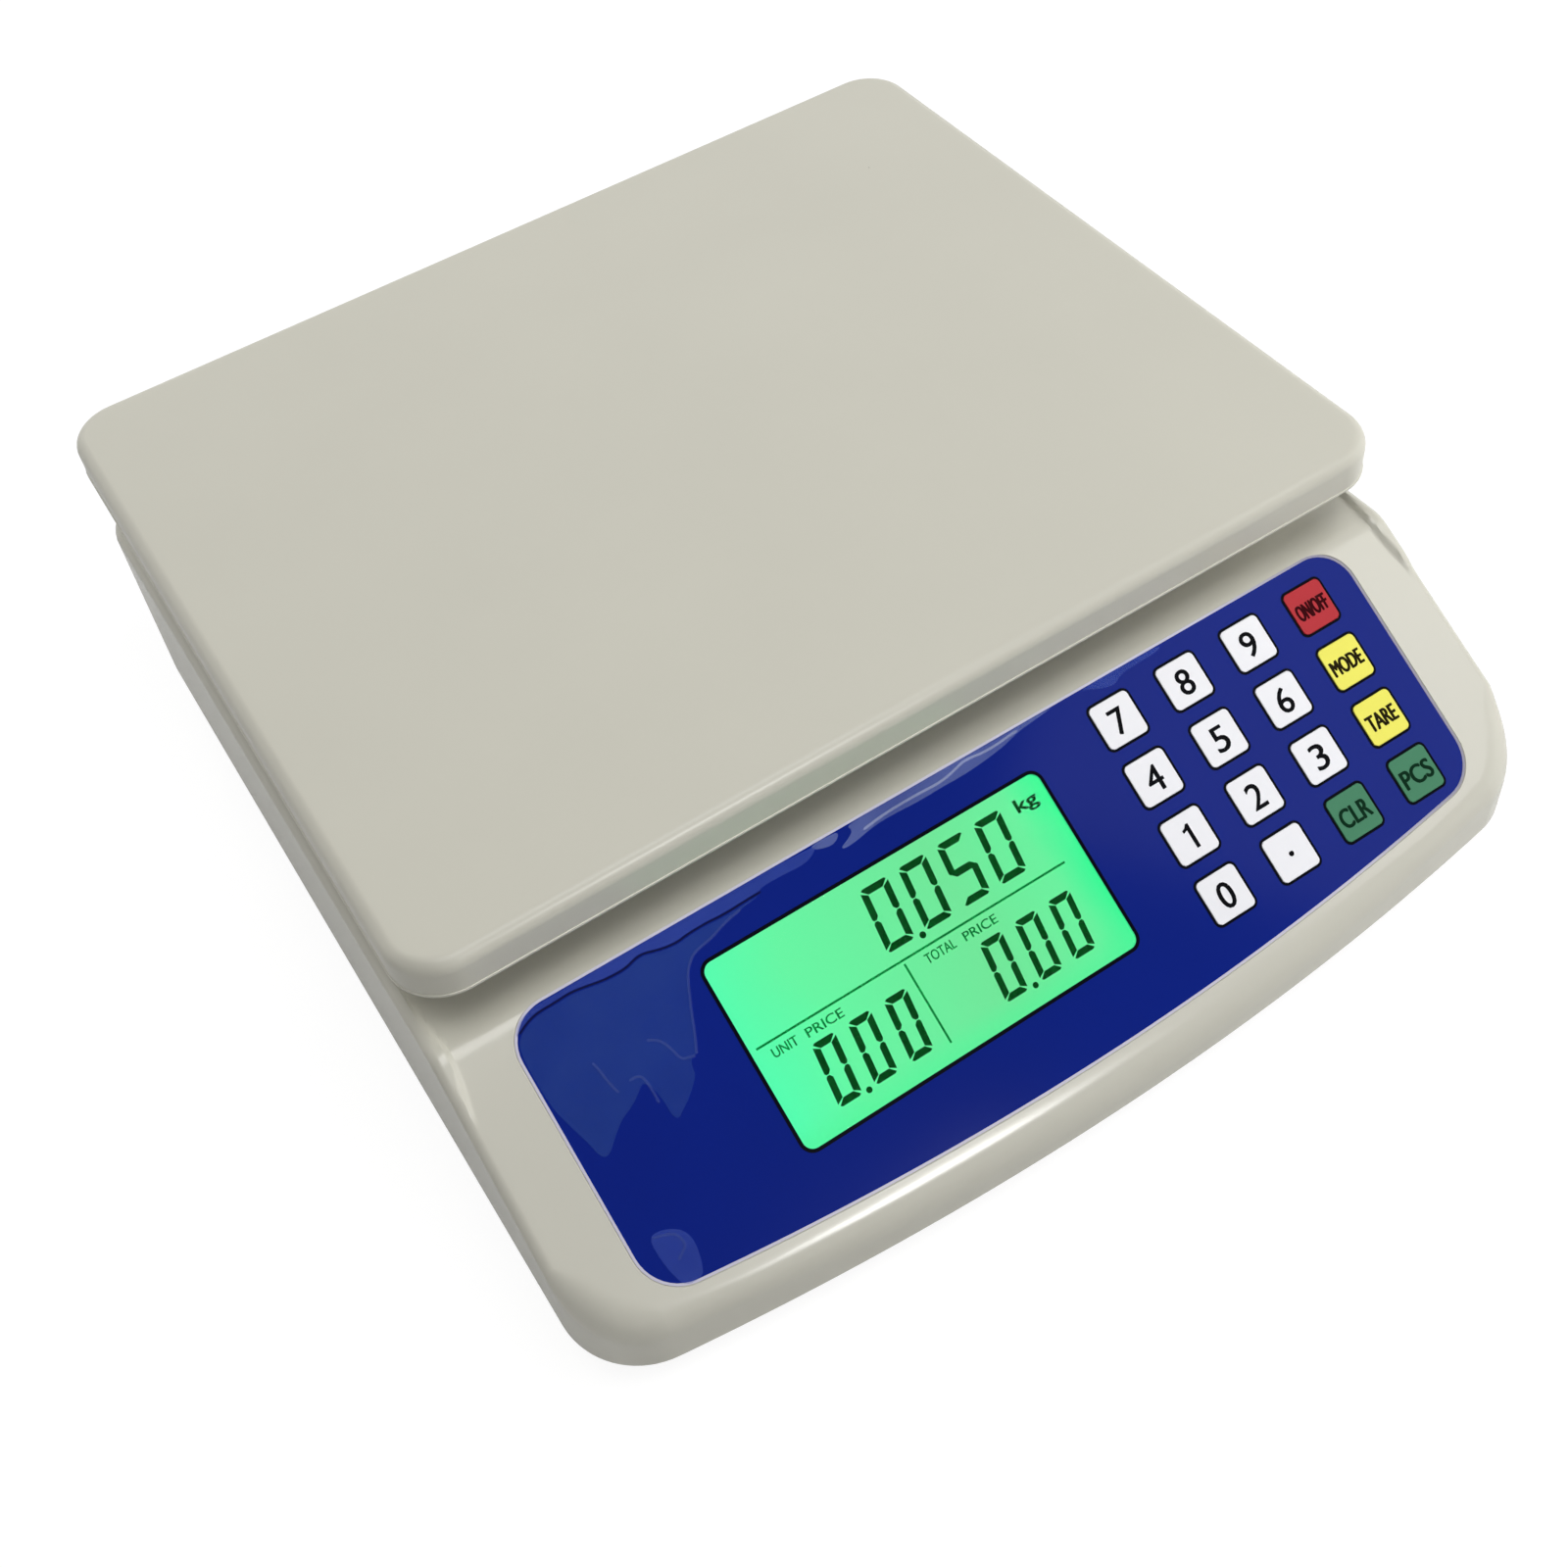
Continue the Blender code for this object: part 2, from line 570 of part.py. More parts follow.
def make_display():
    left, right, low, high = WINDOW
    across = (left - LCD_MARGIN, right + LCD_MARGIN)
    along = (low - LCD_MARGIN, high + LCD_MARGIN)
    bm = bmesh.new()
    box(bm, across, along, (-LCD_TOP - LCD_THICK, -LCD_TOP))
    add_object("lcd_glass", bm, material("lcd_glass", (0.10, 0.60, 0.30), 0.2), parent=PANEL)
    bm = bmesh.new()
    box(bm, across, along, (GAP - BOARD_TOP, -LCD_TOP - LCD_THICK - GAP))
    add_object("backlight", bm, material("backlight", (0.75, 0.95, 0.80), 0.4), parent=PANEL)

    bm = bmesh.new()
    box(bm, BOARD_X, BOARD_Y, (-BOARD_TOP - BOARD_THICK, -BOARD_TOP))
    board = add_object("main_board", bm, material("circuit_board", (0.02, 0.20, 0.08), 0.5),
                       parent=PANEL)
    bm = bmesh.new()
    for x, y in board_screw_places():
        cylinder(bm, x, y, shank_hole(BOARD_SCREW), (-BOARD_TOP - 3 * MM, 1 * MM - BOARD_TOP), 12)
    add_boolean(board, 'DIFFERENCE', add_object("board_holes", bm, parent=PANEL))
    under = -BOARD_TOP - BOARD_THICK - GAP
    for number, (x, y) in enumerate(board_screw_places(), 1):
        screw = turned(f"board_screw_{number}", screw_profile(BOARD_SCREW), steel(), (x, y, under),
                       PANEL, 12)
        screw.rotation_euler = (math.pi, 0.0, 0.0)
    can = [(0, 0), (BUZZER_RADIUS - 0.4 * MM, 0), (BUZZER_RADIUS, -0.6 * MM),
           (BUZZER_RADIUS, -6.5 * MM), (1 * MM, -7 * MM), (0, -7 * MM)]
    turned("buzzer", can, material("buzzer_plastic", (0.02, 0.02, 0.02), 0.4),
           (*BUZZER_PLACE, under), PANEL)


def make_keys():
    reach = KEY_SIZE / 2
    for name, x, y in key_places():
        bm = bmesh.new()
        stem = rounded_rectangle((-reach, reach), (-reach, reach), KEY_CORNER, 3)
        prism(bm, stem, (-KEY_FOOT + KEY_FLANGE / 2, KEY_PROUD))
        colour = COLOURED_KEYS.get(name, "key_white")
        finish = material(colour, KEY_FINISHES[colour], 0.3)
        key = add_object(name, bm, finish, parent=PANEL)
        key.location = (x, y, 0.0)
        bm = bmesh.new()
        across, along = square(0.0, 0.0, reach + 0.9 * MM)
        box(bm, across, along, (-KEY_FOOT, -KEY_FOOT + KEY_FLANGE))
        flange = add_object(name + "_flange", bm, parent=PANEL)
        flange.location = (x, y, 0.0)
        add_boolean(key, 'UNION', flange)

    low, high = GAP - BOARD_TOP, 1.2 * MM - BOARD_TOP
    bm = bmesh.new()
    x_first, y_first = KEY_FIRST
    x_last, y_last = x_first + 3 * KEY_PITCH[0], y_first - 3 * KEY_PITCH[1]
    box(bm, (x_first - 6.5 * MM, x_last + 3 * MM), (y_last - 3 * MM, y_first + 2 * MM), (low, high))
    mat = add_object("dome_mat", bm, material("silicone", (0.55, 0.57, 0.58), 0.6), parent=PANEL)
    bm = bmesh.new()
    for _, x, y in key_places():
        middle = Matrix.Translation((x, y, (low + 0.2 * MM - DOME_TOP) / 2))
        bmesh.ops.create_cone(bm, cap_ends=True, segments=8, radius1=3.0 * MM, radius2=2.0 * MM,
                              depth=-DOME_TOP - low - 0.2 * MM, matrix=middle)
    add_boolean(mat, 'UNION', add_object("domes", bm, parent=PANEL))
    bm = bmesh.new()
    for x, y in board_screw_places()[-2:]:
        cylinder(bm, x, y, BOARD_BOSS + GAP, (low - 1 * MM, high + 1 * MM), 12)
    add_boolean(mat, 'DIFFERENCE', add_object("mat_holes", bm, parent=PANEL))


def make_load_cell():
    half, mid = CELL_WIDTH / 2, PLATFORM_MID_Y
    top = CELL_Z + CELL_HEIGHT
    bm = bmesh.new()
    box(bm, (-CELL_LENGTH / 2, CELL_LENGTH / 2), (mid - half, mid + half), (CELL_Z, top))
    cell = add_object("load_cell", bm, aluminium())
    across = (-half - 1 * MM, half + 1 * MM)
    for name, x in (("cell_bore_fixed_end", -CELL_BORE_X), ("cell_bore_live_end", CELL_BORE_X)):
        bm = bmesh.new()
        cylinder(bm, x, 0.0, CELL_BORE, across, 24)
        place_cell_cutter(cell, add_object(name, bm))
    bm = bmesh.new()
    box(bm, (-CELL_BORE_X, CELL_BORE_X), (-CELL_SLOT, CELL_SLOT), across)
    place_cell_cutter(cell, add_object("cell_slot", bm))
    bm = bmesh.new()
    for x, y in cell_bolt_places(-1):
        cylinder(bm, x, y, shank_hole(CELL_BOLT), (CELL_Z - 1 * MM, CELL_Z + 12 * MM), 12)
    for x, y in cell_bolt_places(1):
        cylinder(bm, x, y, shank_hole(CELL_BOLT), (top - 12 * MM, top + 1 * MM), 12)
    add_boolean(cell, 'DIFFERENCE', add_object("cell_bolt_holes", bm))

    blocks = [("cell_base_block", -1, BASE_TOP + GAP, BLOCK),
              ("cell_top_block", 1, TOP_BLOCK_Z, TOP_BLOCK)]
    for name, side, z, height in blocks:
        ends = sorted((side * CELL_LENGTH / 2, side * (CELL_LENGTH / 2 - 26 * MM)))
        bm = bmesh.new()
        box(bm, ends, (mid - half, mid + half), (z, z + height))
        block = add_object(name, bm, steel())
        bm = bmesh.new()
        for x, y in cell_bolt_places(side):
            cylinder(bm, x, y, shank_hole(CELL_BOLT), (z - 1 * MM, z + height + 1 * MM), 12)
        add_boolean(block, 'DIFFERENCE', add_object(name + "_holes", bm))

    profile = screw_profile(CELL_BOLT)
    for number, (x, y) in enumerate(cell_bolt_places(-1), 1):
        bolt = turned(f"cell_base_bolt_{number}", profile, steel(), (x, y, BASE_Z - GAP))
        bolt.rotation_euler = (math.pi, 0.0, 0.0)
    for number, (x, y) in enumerate(cell_bolt_places(1), 1):
        turned(f"cell_top_bolt_{number}", profile, steel(), (x, y, SUPPORT_Z + SUPPORT_THICK + GAP))


def place_cell_cutter(cell, cutter):
    """Lays an upright cutter along Y through the middle of the load cell."""
    cutter.location = (0.0, PLATFORM_MID_Y, CELL_Z + CELL_HEIGHT / 2)
    cutter.rotation_euler = (math.pi / 2, 0.0, 0.0)
    add_boolean(cell, 'DIFFERENCE', cutter)


def make_platform_support():
    mid = PLATFORM_MID_Y
    z = (SUPPORT_Z, SUPPORT_Z + SUPPORT_THICK)
    bm = bmesh.new()
    reach = POST_X + 5 * MM
    box(bm, (-reach, reach), (mid - SUPPORT_BEAM, mid + SUPPORT_BEAM), z)
    support = add_object("platform_support", bm,
                         material("support_metal", (0.70, 0.70, 0.69), 0.45, 1.0))
    bm = bmesh.new()
    reach = POST_SPAN_Y / 2 + SUPPORT_RAIL
    for side in (-1, 1):
        rail = (side * POST_X - SUPPORT_RAIL, side * POST_X + SUPPORT_RAIL)
        box(bm, rail, (mid - reach, mid + reach), z)
    add_boolean(support, 'UNION', add_object("support_rails", bm))
    bm = bmesh.new()
    for x, y in post_places():
        cylinder(bm, x, y, POST_RADIUS, (SUPPORT_Z + 1 * MM, PAD_Z - GAP))
    add_boolean(support, 'UNION', add_object("support_posts", bm))
    bm = bmesh.new()
    for x, y in cell_bolt_places(1):
        cylinder(bm, x, y, shank_hole(CELL_BOLT), (z[0] - 1 * MM, z[1] + 1 * MM), 12)
    add_boolean(support, 'DIFFERENCE', add_object("support_bolt_holes", bm))

    chamfer = 0.8 * MM
    pad = [(0, PAD_THICK), (PAD_RADIUS - chamfer, PAD_THICK), (PAD_RADIUS, PAD_THICK - chamfer),
           (PAD_RADIUS, 0), (0, 0)]
    for number, (x, y) in enumerate(post_places(), 1):
        turned(f"platform_pad_{number}", pad, rubber(), (x, y, PAD_Z))


def make_platform():
    half_x, half_y, mid = PLATFORM_WIDTH / 2, PLATFORM_DEPTH / 2, PLATFORM_MID_Y
    low = PLATFORM_TOP - PLATFORM_RIM
    bm = bmesh.new()
    outer = rounded_rectangle((-half_x, half_x), (mid - half_y, mid + half_y), PLATFORM_CORNER, 6)
    prism(bm, outer, (low, PLATFORM_TOP))
    layer = bm.edges.layers.float.new("bevel_weight_edge")
    for edge in bm.edges:
        if min(vert.co.z for vert in edge.verts) > PLATFORM_TOP - 0.1 * MM:
            edge[layer] = 1.0
    platform = add_object("platform", bm, casing_plastic())
    bevel = add_bevel(platform, PLATFORM_EDGE, 3)
    bevel.limit_method = 'WEIGHT'

    wall = PLATFORM_WALL
    bm = bmesh.new()
    inner = rounded_rectangle((wall - half_x, half_x - wall),
                              (mid - half_y + wall, mid + half_y - wall), PLATFORM_CORNER - wall, 6)
    prism(bm, inner, (low - 2 * MM, PLATFORM_UNDER))
    add_boolean(platform, 'DIFFERENCE', add_object("platform_hollow", bm))

    bm = bmesh.new()
    reach = half_x - wall / 2
    for y in (mid - 22 * MM, mid + 22 * MM):
        box(bm, (-reach, reach), (y - RIB_HALF, y + RIB_HALF),
            (PLATFORM_UNDER - RIB_DEPTH, PLATFORM_UNDER + 1 * MM))
    add_boolean(platform, 'UNION', add_object("platform_long_ribs", bm))
    bm = bmesh.new()
    reach = half_y - wall / 2
    for x in (-40 * MM, 40 * MM):
        box(bm, (x - RIB_HALF, x + RIB_HALF), (mid - reach, mid + reach),
            (PLATFORM_UNDER - RIB_DEPTH + 0.2 * MM, PLATFORM_UNDER + 0.8 * MM))
    add_boolean(platform, 'UNION', add_object("platform_cross_ribs", bm))

    bore = PAD_RADIUS + 0.5 * MM
    bm = bmesh.new()
    for x, y in post_places():
        cylinder(bm, x, y, bore + PAD_SOCKET_WALL,
                 (PLATFORM_UNDER - PAD_SOCKET_DEPTH, PLATFORM_UNDER + 1 * MM), 20)
    add_boolean(platform, 'UNION', add_object("pad_sockets", bm))
    bm = bmesh.new()
    for x, y in post_places():
        cylinder(bm, x, y, bore, (PLATFORM_UNDER - 7 * MM, PLATFORM_UNDER), 20)
    add_boolean(platform, 'DIFFERENCE', add_object("pad_socket_bores", bm))


def make_feet_and_screws():
    stem_top, neck = 8.2 * MM, BASE_Z - GAP
    foot = [(0, stem_top), (FOOT_STEM - 0.4 * MM, stem_top), (FOOT_STEM, stem_top - 0.6 * MM),
            (FOOT_STEM, neck), (FOOT_RADIUS, neck), (FOOT_RADIUS, 0.8 * MM),
            (FOOT_RADIUS - 0.8 * MM, 0), (0, 0)]
    for number, (x, y) in enumerate(foot_places(), 1):
        turned(f"foot_{number}", foot, rubber(), (x, y, 0.0))
    for number, (x, y) in enumerate(case_boss_places(), 1):
        screw = turned(f"case_screw_{number}", screw_profile(CASE_SCREW), steel(),
                       (x, y, BASE_Z + CASE_SEAT - GAP), sides=12)
        screw.rotation_euler = (math.pi, 0.0, 0.0)
    for number, side in enumerate((-1, 1), 1):
        screw = turned(f"cover_screw_{number}", screw_profile(COVER_SCREW), steel(),
                       (side * COVER_SCREW_X, BATTERY_Y, BASE_Z + COVER_SEAT - GAP), sides=12)
        screw.rotation_euler = (math.pi, 0.0, 0.0)


def make_power_socket():
    """Barrel socket: a black cup behind the back wall, its mouth in the wall, and its pin."""
    bore, bore_end, pin = 2.9 * MM, -9.0 * MM, 1.0 * MM
    bm = bmesh.new()
    box(bm, (-4.6 * MM, 4.6 * MM), (-5.5 * MM, 5.5 * MM), (-12 * MM - GAP, -GAP))
    socket = add_object("power_socket", bm, material("socket_plastic", (0.02, 0.02, 0.02), 0.45))
    bm = bmesh.new()
    cylinder(bm, 0, 0, SOCKET_RADIUS, (-GAP - 1 * MM, 2.6 * MM))
    mouth = add_object("socket_mouth", bm)
    add_boolean(socket, 'UNION', mouth)
    bm = bmesh.new()
    cylinder(bm, 0, 0, bore, (bore_end, 4 * MM))
    inside = add_object("socket_bore", bm)
    add_boolean(socket, 'DIFFERENCE', inside)
    contact = turned("socket_pin", [(0, 1.4 * MM), (pin * 0.7, 1.4 * MM), (pin, 1.1 * MM),
                                    (pin, bore_end + GAP), (0, bore_end + GAP)],
                     steel(), SOCKET_PLACE, sides=12)
    for piece in (socket, mouth, inside, contact):
        piece.location = SOCKET_PLACE
        piece.rotation_euler = (-math.pi / 2, 0.0, 0.0)


make_upper_casing()
make_lower_casing()
make_battery()
make_overlay_and_window()
make_display()
make_keys()
make_load_cell()
make_platform_support()
make_platform()
make_feet_and_screws()
make_power_socket()
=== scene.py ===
"""Looks of a counting scale: casing, weighing platform, keypad, lit display and their finishes.

Metres, +Z up, the user on the -Y side. Panel points are (across, down the slope, out of it).
"""
import json
import math

import bmesh
import bpy
from mathutils import Matrix, Vector

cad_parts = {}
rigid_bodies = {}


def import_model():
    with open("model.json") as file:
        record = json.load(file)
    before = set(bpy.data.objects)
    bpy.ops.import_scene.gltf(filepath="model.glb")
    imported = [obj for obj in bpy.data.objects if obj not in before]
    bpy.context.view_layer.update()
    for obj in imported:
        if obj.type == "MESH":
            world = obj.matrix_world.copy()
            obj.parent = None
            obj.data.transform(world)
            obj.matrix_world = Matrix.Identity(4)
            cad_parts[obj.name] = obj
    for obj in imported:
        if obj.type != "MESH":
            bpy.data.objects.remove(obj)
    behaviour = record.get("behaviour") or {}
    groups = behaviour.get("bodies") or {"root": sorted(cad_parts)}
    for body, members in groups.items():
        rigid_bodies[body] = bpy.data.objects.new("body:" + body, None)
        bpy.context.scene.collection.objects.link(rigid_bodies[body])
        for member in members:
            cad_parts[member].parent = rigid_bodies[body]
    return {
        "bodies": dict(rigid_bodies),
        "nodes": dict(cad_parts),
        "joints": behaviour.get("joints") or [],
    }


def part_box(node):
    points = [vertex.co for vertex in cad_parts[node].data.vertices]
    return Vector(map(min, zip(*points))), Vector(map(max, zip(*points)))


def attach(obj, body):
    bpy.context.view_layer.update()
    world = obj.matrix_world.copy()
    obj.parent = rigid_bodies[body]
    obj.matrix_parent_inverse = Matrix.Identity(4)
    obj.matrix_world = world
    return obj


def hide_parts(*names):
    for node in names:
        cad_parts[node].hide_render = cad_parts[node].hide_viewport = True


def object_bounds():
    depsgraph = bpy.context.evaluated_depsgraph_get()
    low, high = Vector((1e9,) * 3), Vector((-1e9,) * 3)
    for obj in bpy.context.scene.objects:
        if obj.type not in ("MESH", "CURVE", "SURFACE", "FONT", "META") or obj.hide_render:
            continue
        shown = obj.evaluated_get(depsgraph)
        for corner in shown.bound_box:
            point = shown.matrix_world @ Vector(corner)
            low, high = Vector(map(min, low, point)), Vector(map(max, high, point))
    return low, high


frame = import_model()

MM = 0.001
cad_low, cad_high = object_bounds()

# ---------------------------------------------------------------- Studio
# The scale stands on a pale floor in a white surround, under a wide ceiling lamp, with soft
# lamps to its right and behind. Two more only show mirrored: as the streak along the front lip
# and as the haze over the right end of the overlay.
scene = bpy.context.scene
scene.view_settings.view_transform = "Standard"


def link_object(name, data):
    thing = bpy.data.objects.new(name, data)
    scene.collection.objects.link(thing)
    return thing


def add_lamp(name, place, target, size, watts):
    lamp = bpy.data.lights.new(name, "AREA")
    lamp.shape = "RECTANGLE"
    lamp.size, lamp.size_y = size
    lamp.energy = watts
    thing = link_object(name, lamp)
    thing.location = place
    thing.rotation_euler = (Vector(target) - Vector(place)).to_track_quat("-Z", "Y").to_euler()
    return thing


add_lamp("ceiling_lamp", (0.05, -0.28, 1.15), (0.0, 0.0, 0.05), (0.9, 0.5), 6.1)
for name, place, size, watts in [("side_lamp", (0.84, -0.37, 0.40), (0.4, 0.4), 5.4),
                                 ("back_lamp", (-0.2, 0.9, 0.5), (0.5, 0.4), 4.0)]:
    add_lamp(name, place, (0.0, 0.0, 0.05), size, watts).visible_glossy = False      # never mirrored
for name, place, target, size, watts in [
        ("streak_lamp", (0.19, -0.86, 0.71), (-0.03, -0.115, 0.02), (0.2, 0.235), 3.9),
        ("haze_lamp", (0.75, -0.6, 0.95), (0.05, -0.09, 0.03), (0.45, 0.45), 1.7)]:
    add_lamp(name, place, target, size, watts).visible_diffuse = False      # only seen mirrored


def feed(tree, sockets, values):
    """Gives sockets, by name or number, a plain value or the output that feeds them."""
    for name, value in values.items():
        if isinstance(value, bpy.types.NodeSocket):
            tree.links.new(value, sockets[name])
        else:
            sockets[name].default_value = value


def add_node(tree, kind, inputs=None, **settings):
    node = tree.nodes.new(kind)
    for name, value in settings.items():
        setattr(node, name, value)
    feed(tree, node.inputs, inputs or {})
    return node


def calculate(tree, operation, *values):
    """Result of a math node."""
    return add_node(tree, "ShaderNodeMath", dict(enumerate(values)), operation=operation).outputs[0]


def remap(tree, value, start, end, **settings):
    """The value taken from one range, (lowest, highest), to another."""
    ranges = dict(zip(("From Min", "From Max", "To Min", "To Max"), (*start, *end)))
    return add_node(tree, "ShaderNodeMapRange", {"Value": value, **ranges}, **settings).outputs[0]


world = bpy.data.worlds.new("white_surround")
scene.world = world
world.use_nodes = True
sky = world.node_tree
sky.nodes.clear()
WHITE = (1.0, 1.0, 1.0, 1.0)
FILL_LIGHT = 0.14                   # of the surround on surfaces; it looks white to the camera
ray = add_node(sky, "ShaderNodeLightPath").outputs
seen = calculate(sky, "MAXIMUM", ray["Is Camera Ray"], ray["Is Glossy Ray"])
seen = calculate(sky, "MAXIMUM", seen, ray["Is Transmission Ray"])
strength = remap(sky, seen, (0.0, 1.0), (FILL_LIGHT, 1.0))
glow = add_node(sky, "ShaderNodeBackground", {"Color": WHITE, "Strength": strength})
add_node(sky, "ShaderNodeOutputWorld", {"Surface": glow.outputs[0]})

FLOOR_REACH = 4.0
FLOOR_WHITENESS = 0.8               # share of plain white in what the camera sees of the floor
floor_mesh = bpy.data.meshes.new("floor")
corners = [(x * FLOOR_REACH, y * FLOOR_REACH, cad_low.z) for x, y in ((-1, -1), (1, -1), (1, 1), (-1, 1))]
floor_mesh.from_pydata(corners, [], [(0, 1, 2, 3)])
floor = link_object("floor", floor_mesh)
floor_paper = bpy.data.materials.new("floor_paper")
floor_paper.use_nodes = True
tree = floor_paper.node_tree
tree.nodes.clear()
diffuse = add_node(tree, "ShaderNodeBsdfDiffuse", {"Color": (0.86, 0.86, 0.86, 1.0)})
ray = add_node(tree, "ShaderNodeLightPath").outputs
share = calculate(tree, "MULTIPLY", ray["Is Camera Ray"], FLOOR_WHITENESS)
lit = add_node(tree, "ShaderNodeEmission", {"Color": WHITE, "Strength": 1.12})
both = add_node(tree, "ShaderNodeMixShader", {0: share, 1: diffuse.outputs[0], 2: lit.outputs[0]})
add_node(tree, "ShaderNodeOutputMaterial", {"Surface": both.outputs[0]})
floor_mesh.materials.append(floor_paper)

camera = link_object("camera", bpy.data.cameras.new("camera"))
camera.data.lens = 41.0
camera.data.sensor_width = 36.0
camera.data.clip_start = 0.01
camera.location = (-0.1203, -0.2310, 0.3135)
camera.rotation_euler = [math.radians(angle) for angle in (37.893, 4.899, -32.806)]
scene.camera = camera

# ---------------------------------------------------------------- Lower casing
# A shallow moulded tray closes the casing from below: same ivory plastic, satin, with a fine
# moulded grain. It carries the battery bay, and screws from below hold it to the upper shell.
HOUSING = "housing"
IVORY = (207, 205, 192)
CLOUDS, WIPES, SPECK_CELLS = 22.0, 9.0, 85.0      # how many of each to a metre
SPECK_SIZE = 0.02                   # of its cell
BARE_CELLS = 0.86                   # share of the cells without a speck
SPECK_BROWN = (0.11, 0.10, 0.08, 1.0)


def object_place(tree):
    return add_node(tree, "ShaderNodeTexCoord").outputs["Object"]


def noise(tree, where, scale, detail, distortion=0.0):
    """Value of a noise texture, about 0.5 on average."""
    return add_node(tree, "ShaderNodeTexNoise", {"Vector": where, "Scale": scale, "Detail": detail,
                                                "Distortion": distortion}).outputs[0]


def mix(tree, share, first, second):
    """Colour between two colours."""
    return add_node(tree, "ShaderNodeMix", {"Factor": share, "A": first, "B": second},
                    data_type="RGBA").outputs[2]


def linear(red, green, blue):
    """Turns a colour written as 0 to 255 into the linear RGBA that shaders take."""
    steps = [value / 255 for value in (red, green, blue)]
    return (*[s / 12.92 if s <= 0.04045 else ((s + 0.055) / 1.055) ** 2.4 for s in steps], 1.0)


def skin_group():
    """Shader group for any moulded, cast or rubber skin: cloudy tone, stray specks and a fine grain."""
    group = bpy.data.node_groups.new("skin", "ShaderNodeTree")
    sockets = (("Colour", "NodeSocketColor", (0.8, 0.8, 0.8, 1.0)), ("Mottle", "NodeSocketFloat", 0.03),
               ("Specks", "NodeSocketFloat", 0.3), ("Roughness", "NodeSocketFloat", 0.35),
               ("Smudge", "NodeSocketFloat", 0.06), ("Grain Size", "NodeSocketFloat", 0.0006))
    for name, kind, default in sockets:
        group.interface.new_socket(name, in_out="INPUT", socket_type=kind).default_value = default
    for name, kind in (("Colour", "NodeSocketColor"), ("Roughness", "NodeSocketFloat"),
                       ("Height", "NodeSocketFloat")):
        group.interface.new_socket(name, in_out="OUTPUT", socket_type=kind)
    given = add_node(group, "NodeGroupInput").outputs
    where = object_place(group)
    cloud = calculate(group, "SUBTRACT", noise(group, where, CLOUDS, 4.0), 0.5)
    swing = calculate(group, "MULTIPLY", cloud, given["Mottle"])
    tone = calculate(group, "MULTIPLY_ADD", swing, 2.0, 1.0)
    toned = add_node(group, "ShaderNodeVectorMath", {0: given["Colour"], "Scale": tone},
                     operation="SCALE")
    cells = add_node(group, "ShaderNodeTexVoronoi", {"Vector": where, "Scale": SPECK_CELLS})
    near = calculate(group, "LESS_THAN", cells.outputs["Distance"], SPECK_SIZE)
    chance = add_node(group, "ShaderNodeSeparateColor", {0: cells.outputs["Color"]}).outputs[0]
    few = calculate(group, "GREATER_THAN", chance, BARE_CELLS)
    dot = calculate(group, "MULTIPLY", calculate(group, "MULTIPLY", near, few), given["Specks"])
    speckled = mix(group, dot, toned.outputs[0], SPECK_BROWN)
    wipes = calculate(group, "SUBTRACT", noise(group, where, WIPES, 6.0, 1.2), 0.5)
    rough = calculate(group, "MULTIPLY_ADD", wipes, given["Smudge"], given["Roughness"])
    density = calculate(group, "DIVIDE", 1.0, given["Grain Size"])
    add_node(group, "NodeGroupOutput", {"Colour": speckled, "Roughness": rough,
                                        "Height": noise(group, where, density, 2.0)})
    return group


SKIN = skin_group()


def new_material(name):
    """A material, its node tree and the inputs of its main shader."""
    made = bpy.data.materials.new(name)
    made.use_nodes = True
    return made, made.node_tree, made.node_tree.nodes["Principled BSDF"].inputs


def skin(name, colour, roughness, mottle=0.03, specks=0.0, smudge=0.06, grain=0.6 * MM,
         depth=0.004 * MM, metallic=0.0, shine=0.5):
    """A material with the skin group's tone, roughness and grain; colour is 0 to 255.

    Shine is the specular level: 0.5 for bare plastic, far less for ink under a film.
    """
    made, tree, shader = new_material(name)
    group = add_node(tree, "ShaderNodeGroup", {
        "Colour": linear(*colour), "Mottle": mottle, "Specks": specks, "Roughness": roughness,
        "Smudge": smudge, "Grain Size": grain}, node_tree=SKIN).outputs
    bump = add_node(tree, "ShaderNodeBump", {"Strength": 1.0, "Distance": depth,
                                            "Height": group["Height"]})
    feed(tree, shader, {"Base Color": group["Colour"], "Roughness": group["Roughness"],
                        "Normal": bump.outputs[0], "Metallic": metallic, "Specular IOR Level": shine})
    return made


def bake_modifiers(piece):
    """Turns a piece with live modifiers into a plain mesh."""
    graph = bpy.context.evaluated_depsgraph_get()
    mesh = bpy.data.meshes.new_from_object(piece.evaluated_get(graph), depsgraph=graph)
    piece.modifiers.clear()
    piece.data = mesh


def soften(piece, angle=35):
    """Smooth shading that keeps flat faces flat and corners sharper than the angle crisp."""
    mesh = piece.data
    mesh.polygons.foreach_set("use_smooth", [True] * len(mesh.polygons))
    mesh.set_sharp_from_angle(angle=math.radians(angle))
    piece.modifiers.new("flat_faces", "WEIGHTED_NORMAL").keep_sharp = True
    bake_modifiers(piece)


def place_piece(piece, body, nodes):
    """Fastens a finished piece to its body and hides the CAD nodes that it stands for."""
    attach(piece, body)
    if nodes:
        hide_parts(*nodes)


def new_piece(name, bm, *finishes):
    """Closes a bmesh into an object with its finishes, its faces turned outwards."""
    bmesh.ops.recalc_face_normals(bm, faces=bm.faces)
    mesh = bpy.data.meshes.new(name)
    bm.to_mesh(mesh)
    bm.free()
    for finish in finishes:
        mesh.materials.append(finish)
    return link_object(name, mesh)


MERGE = 0.002 * MM
FLAT_ANGLE, CORNER_ANGLE = 1.0, 38.0      # degrees: faces that join, corners that get rounded


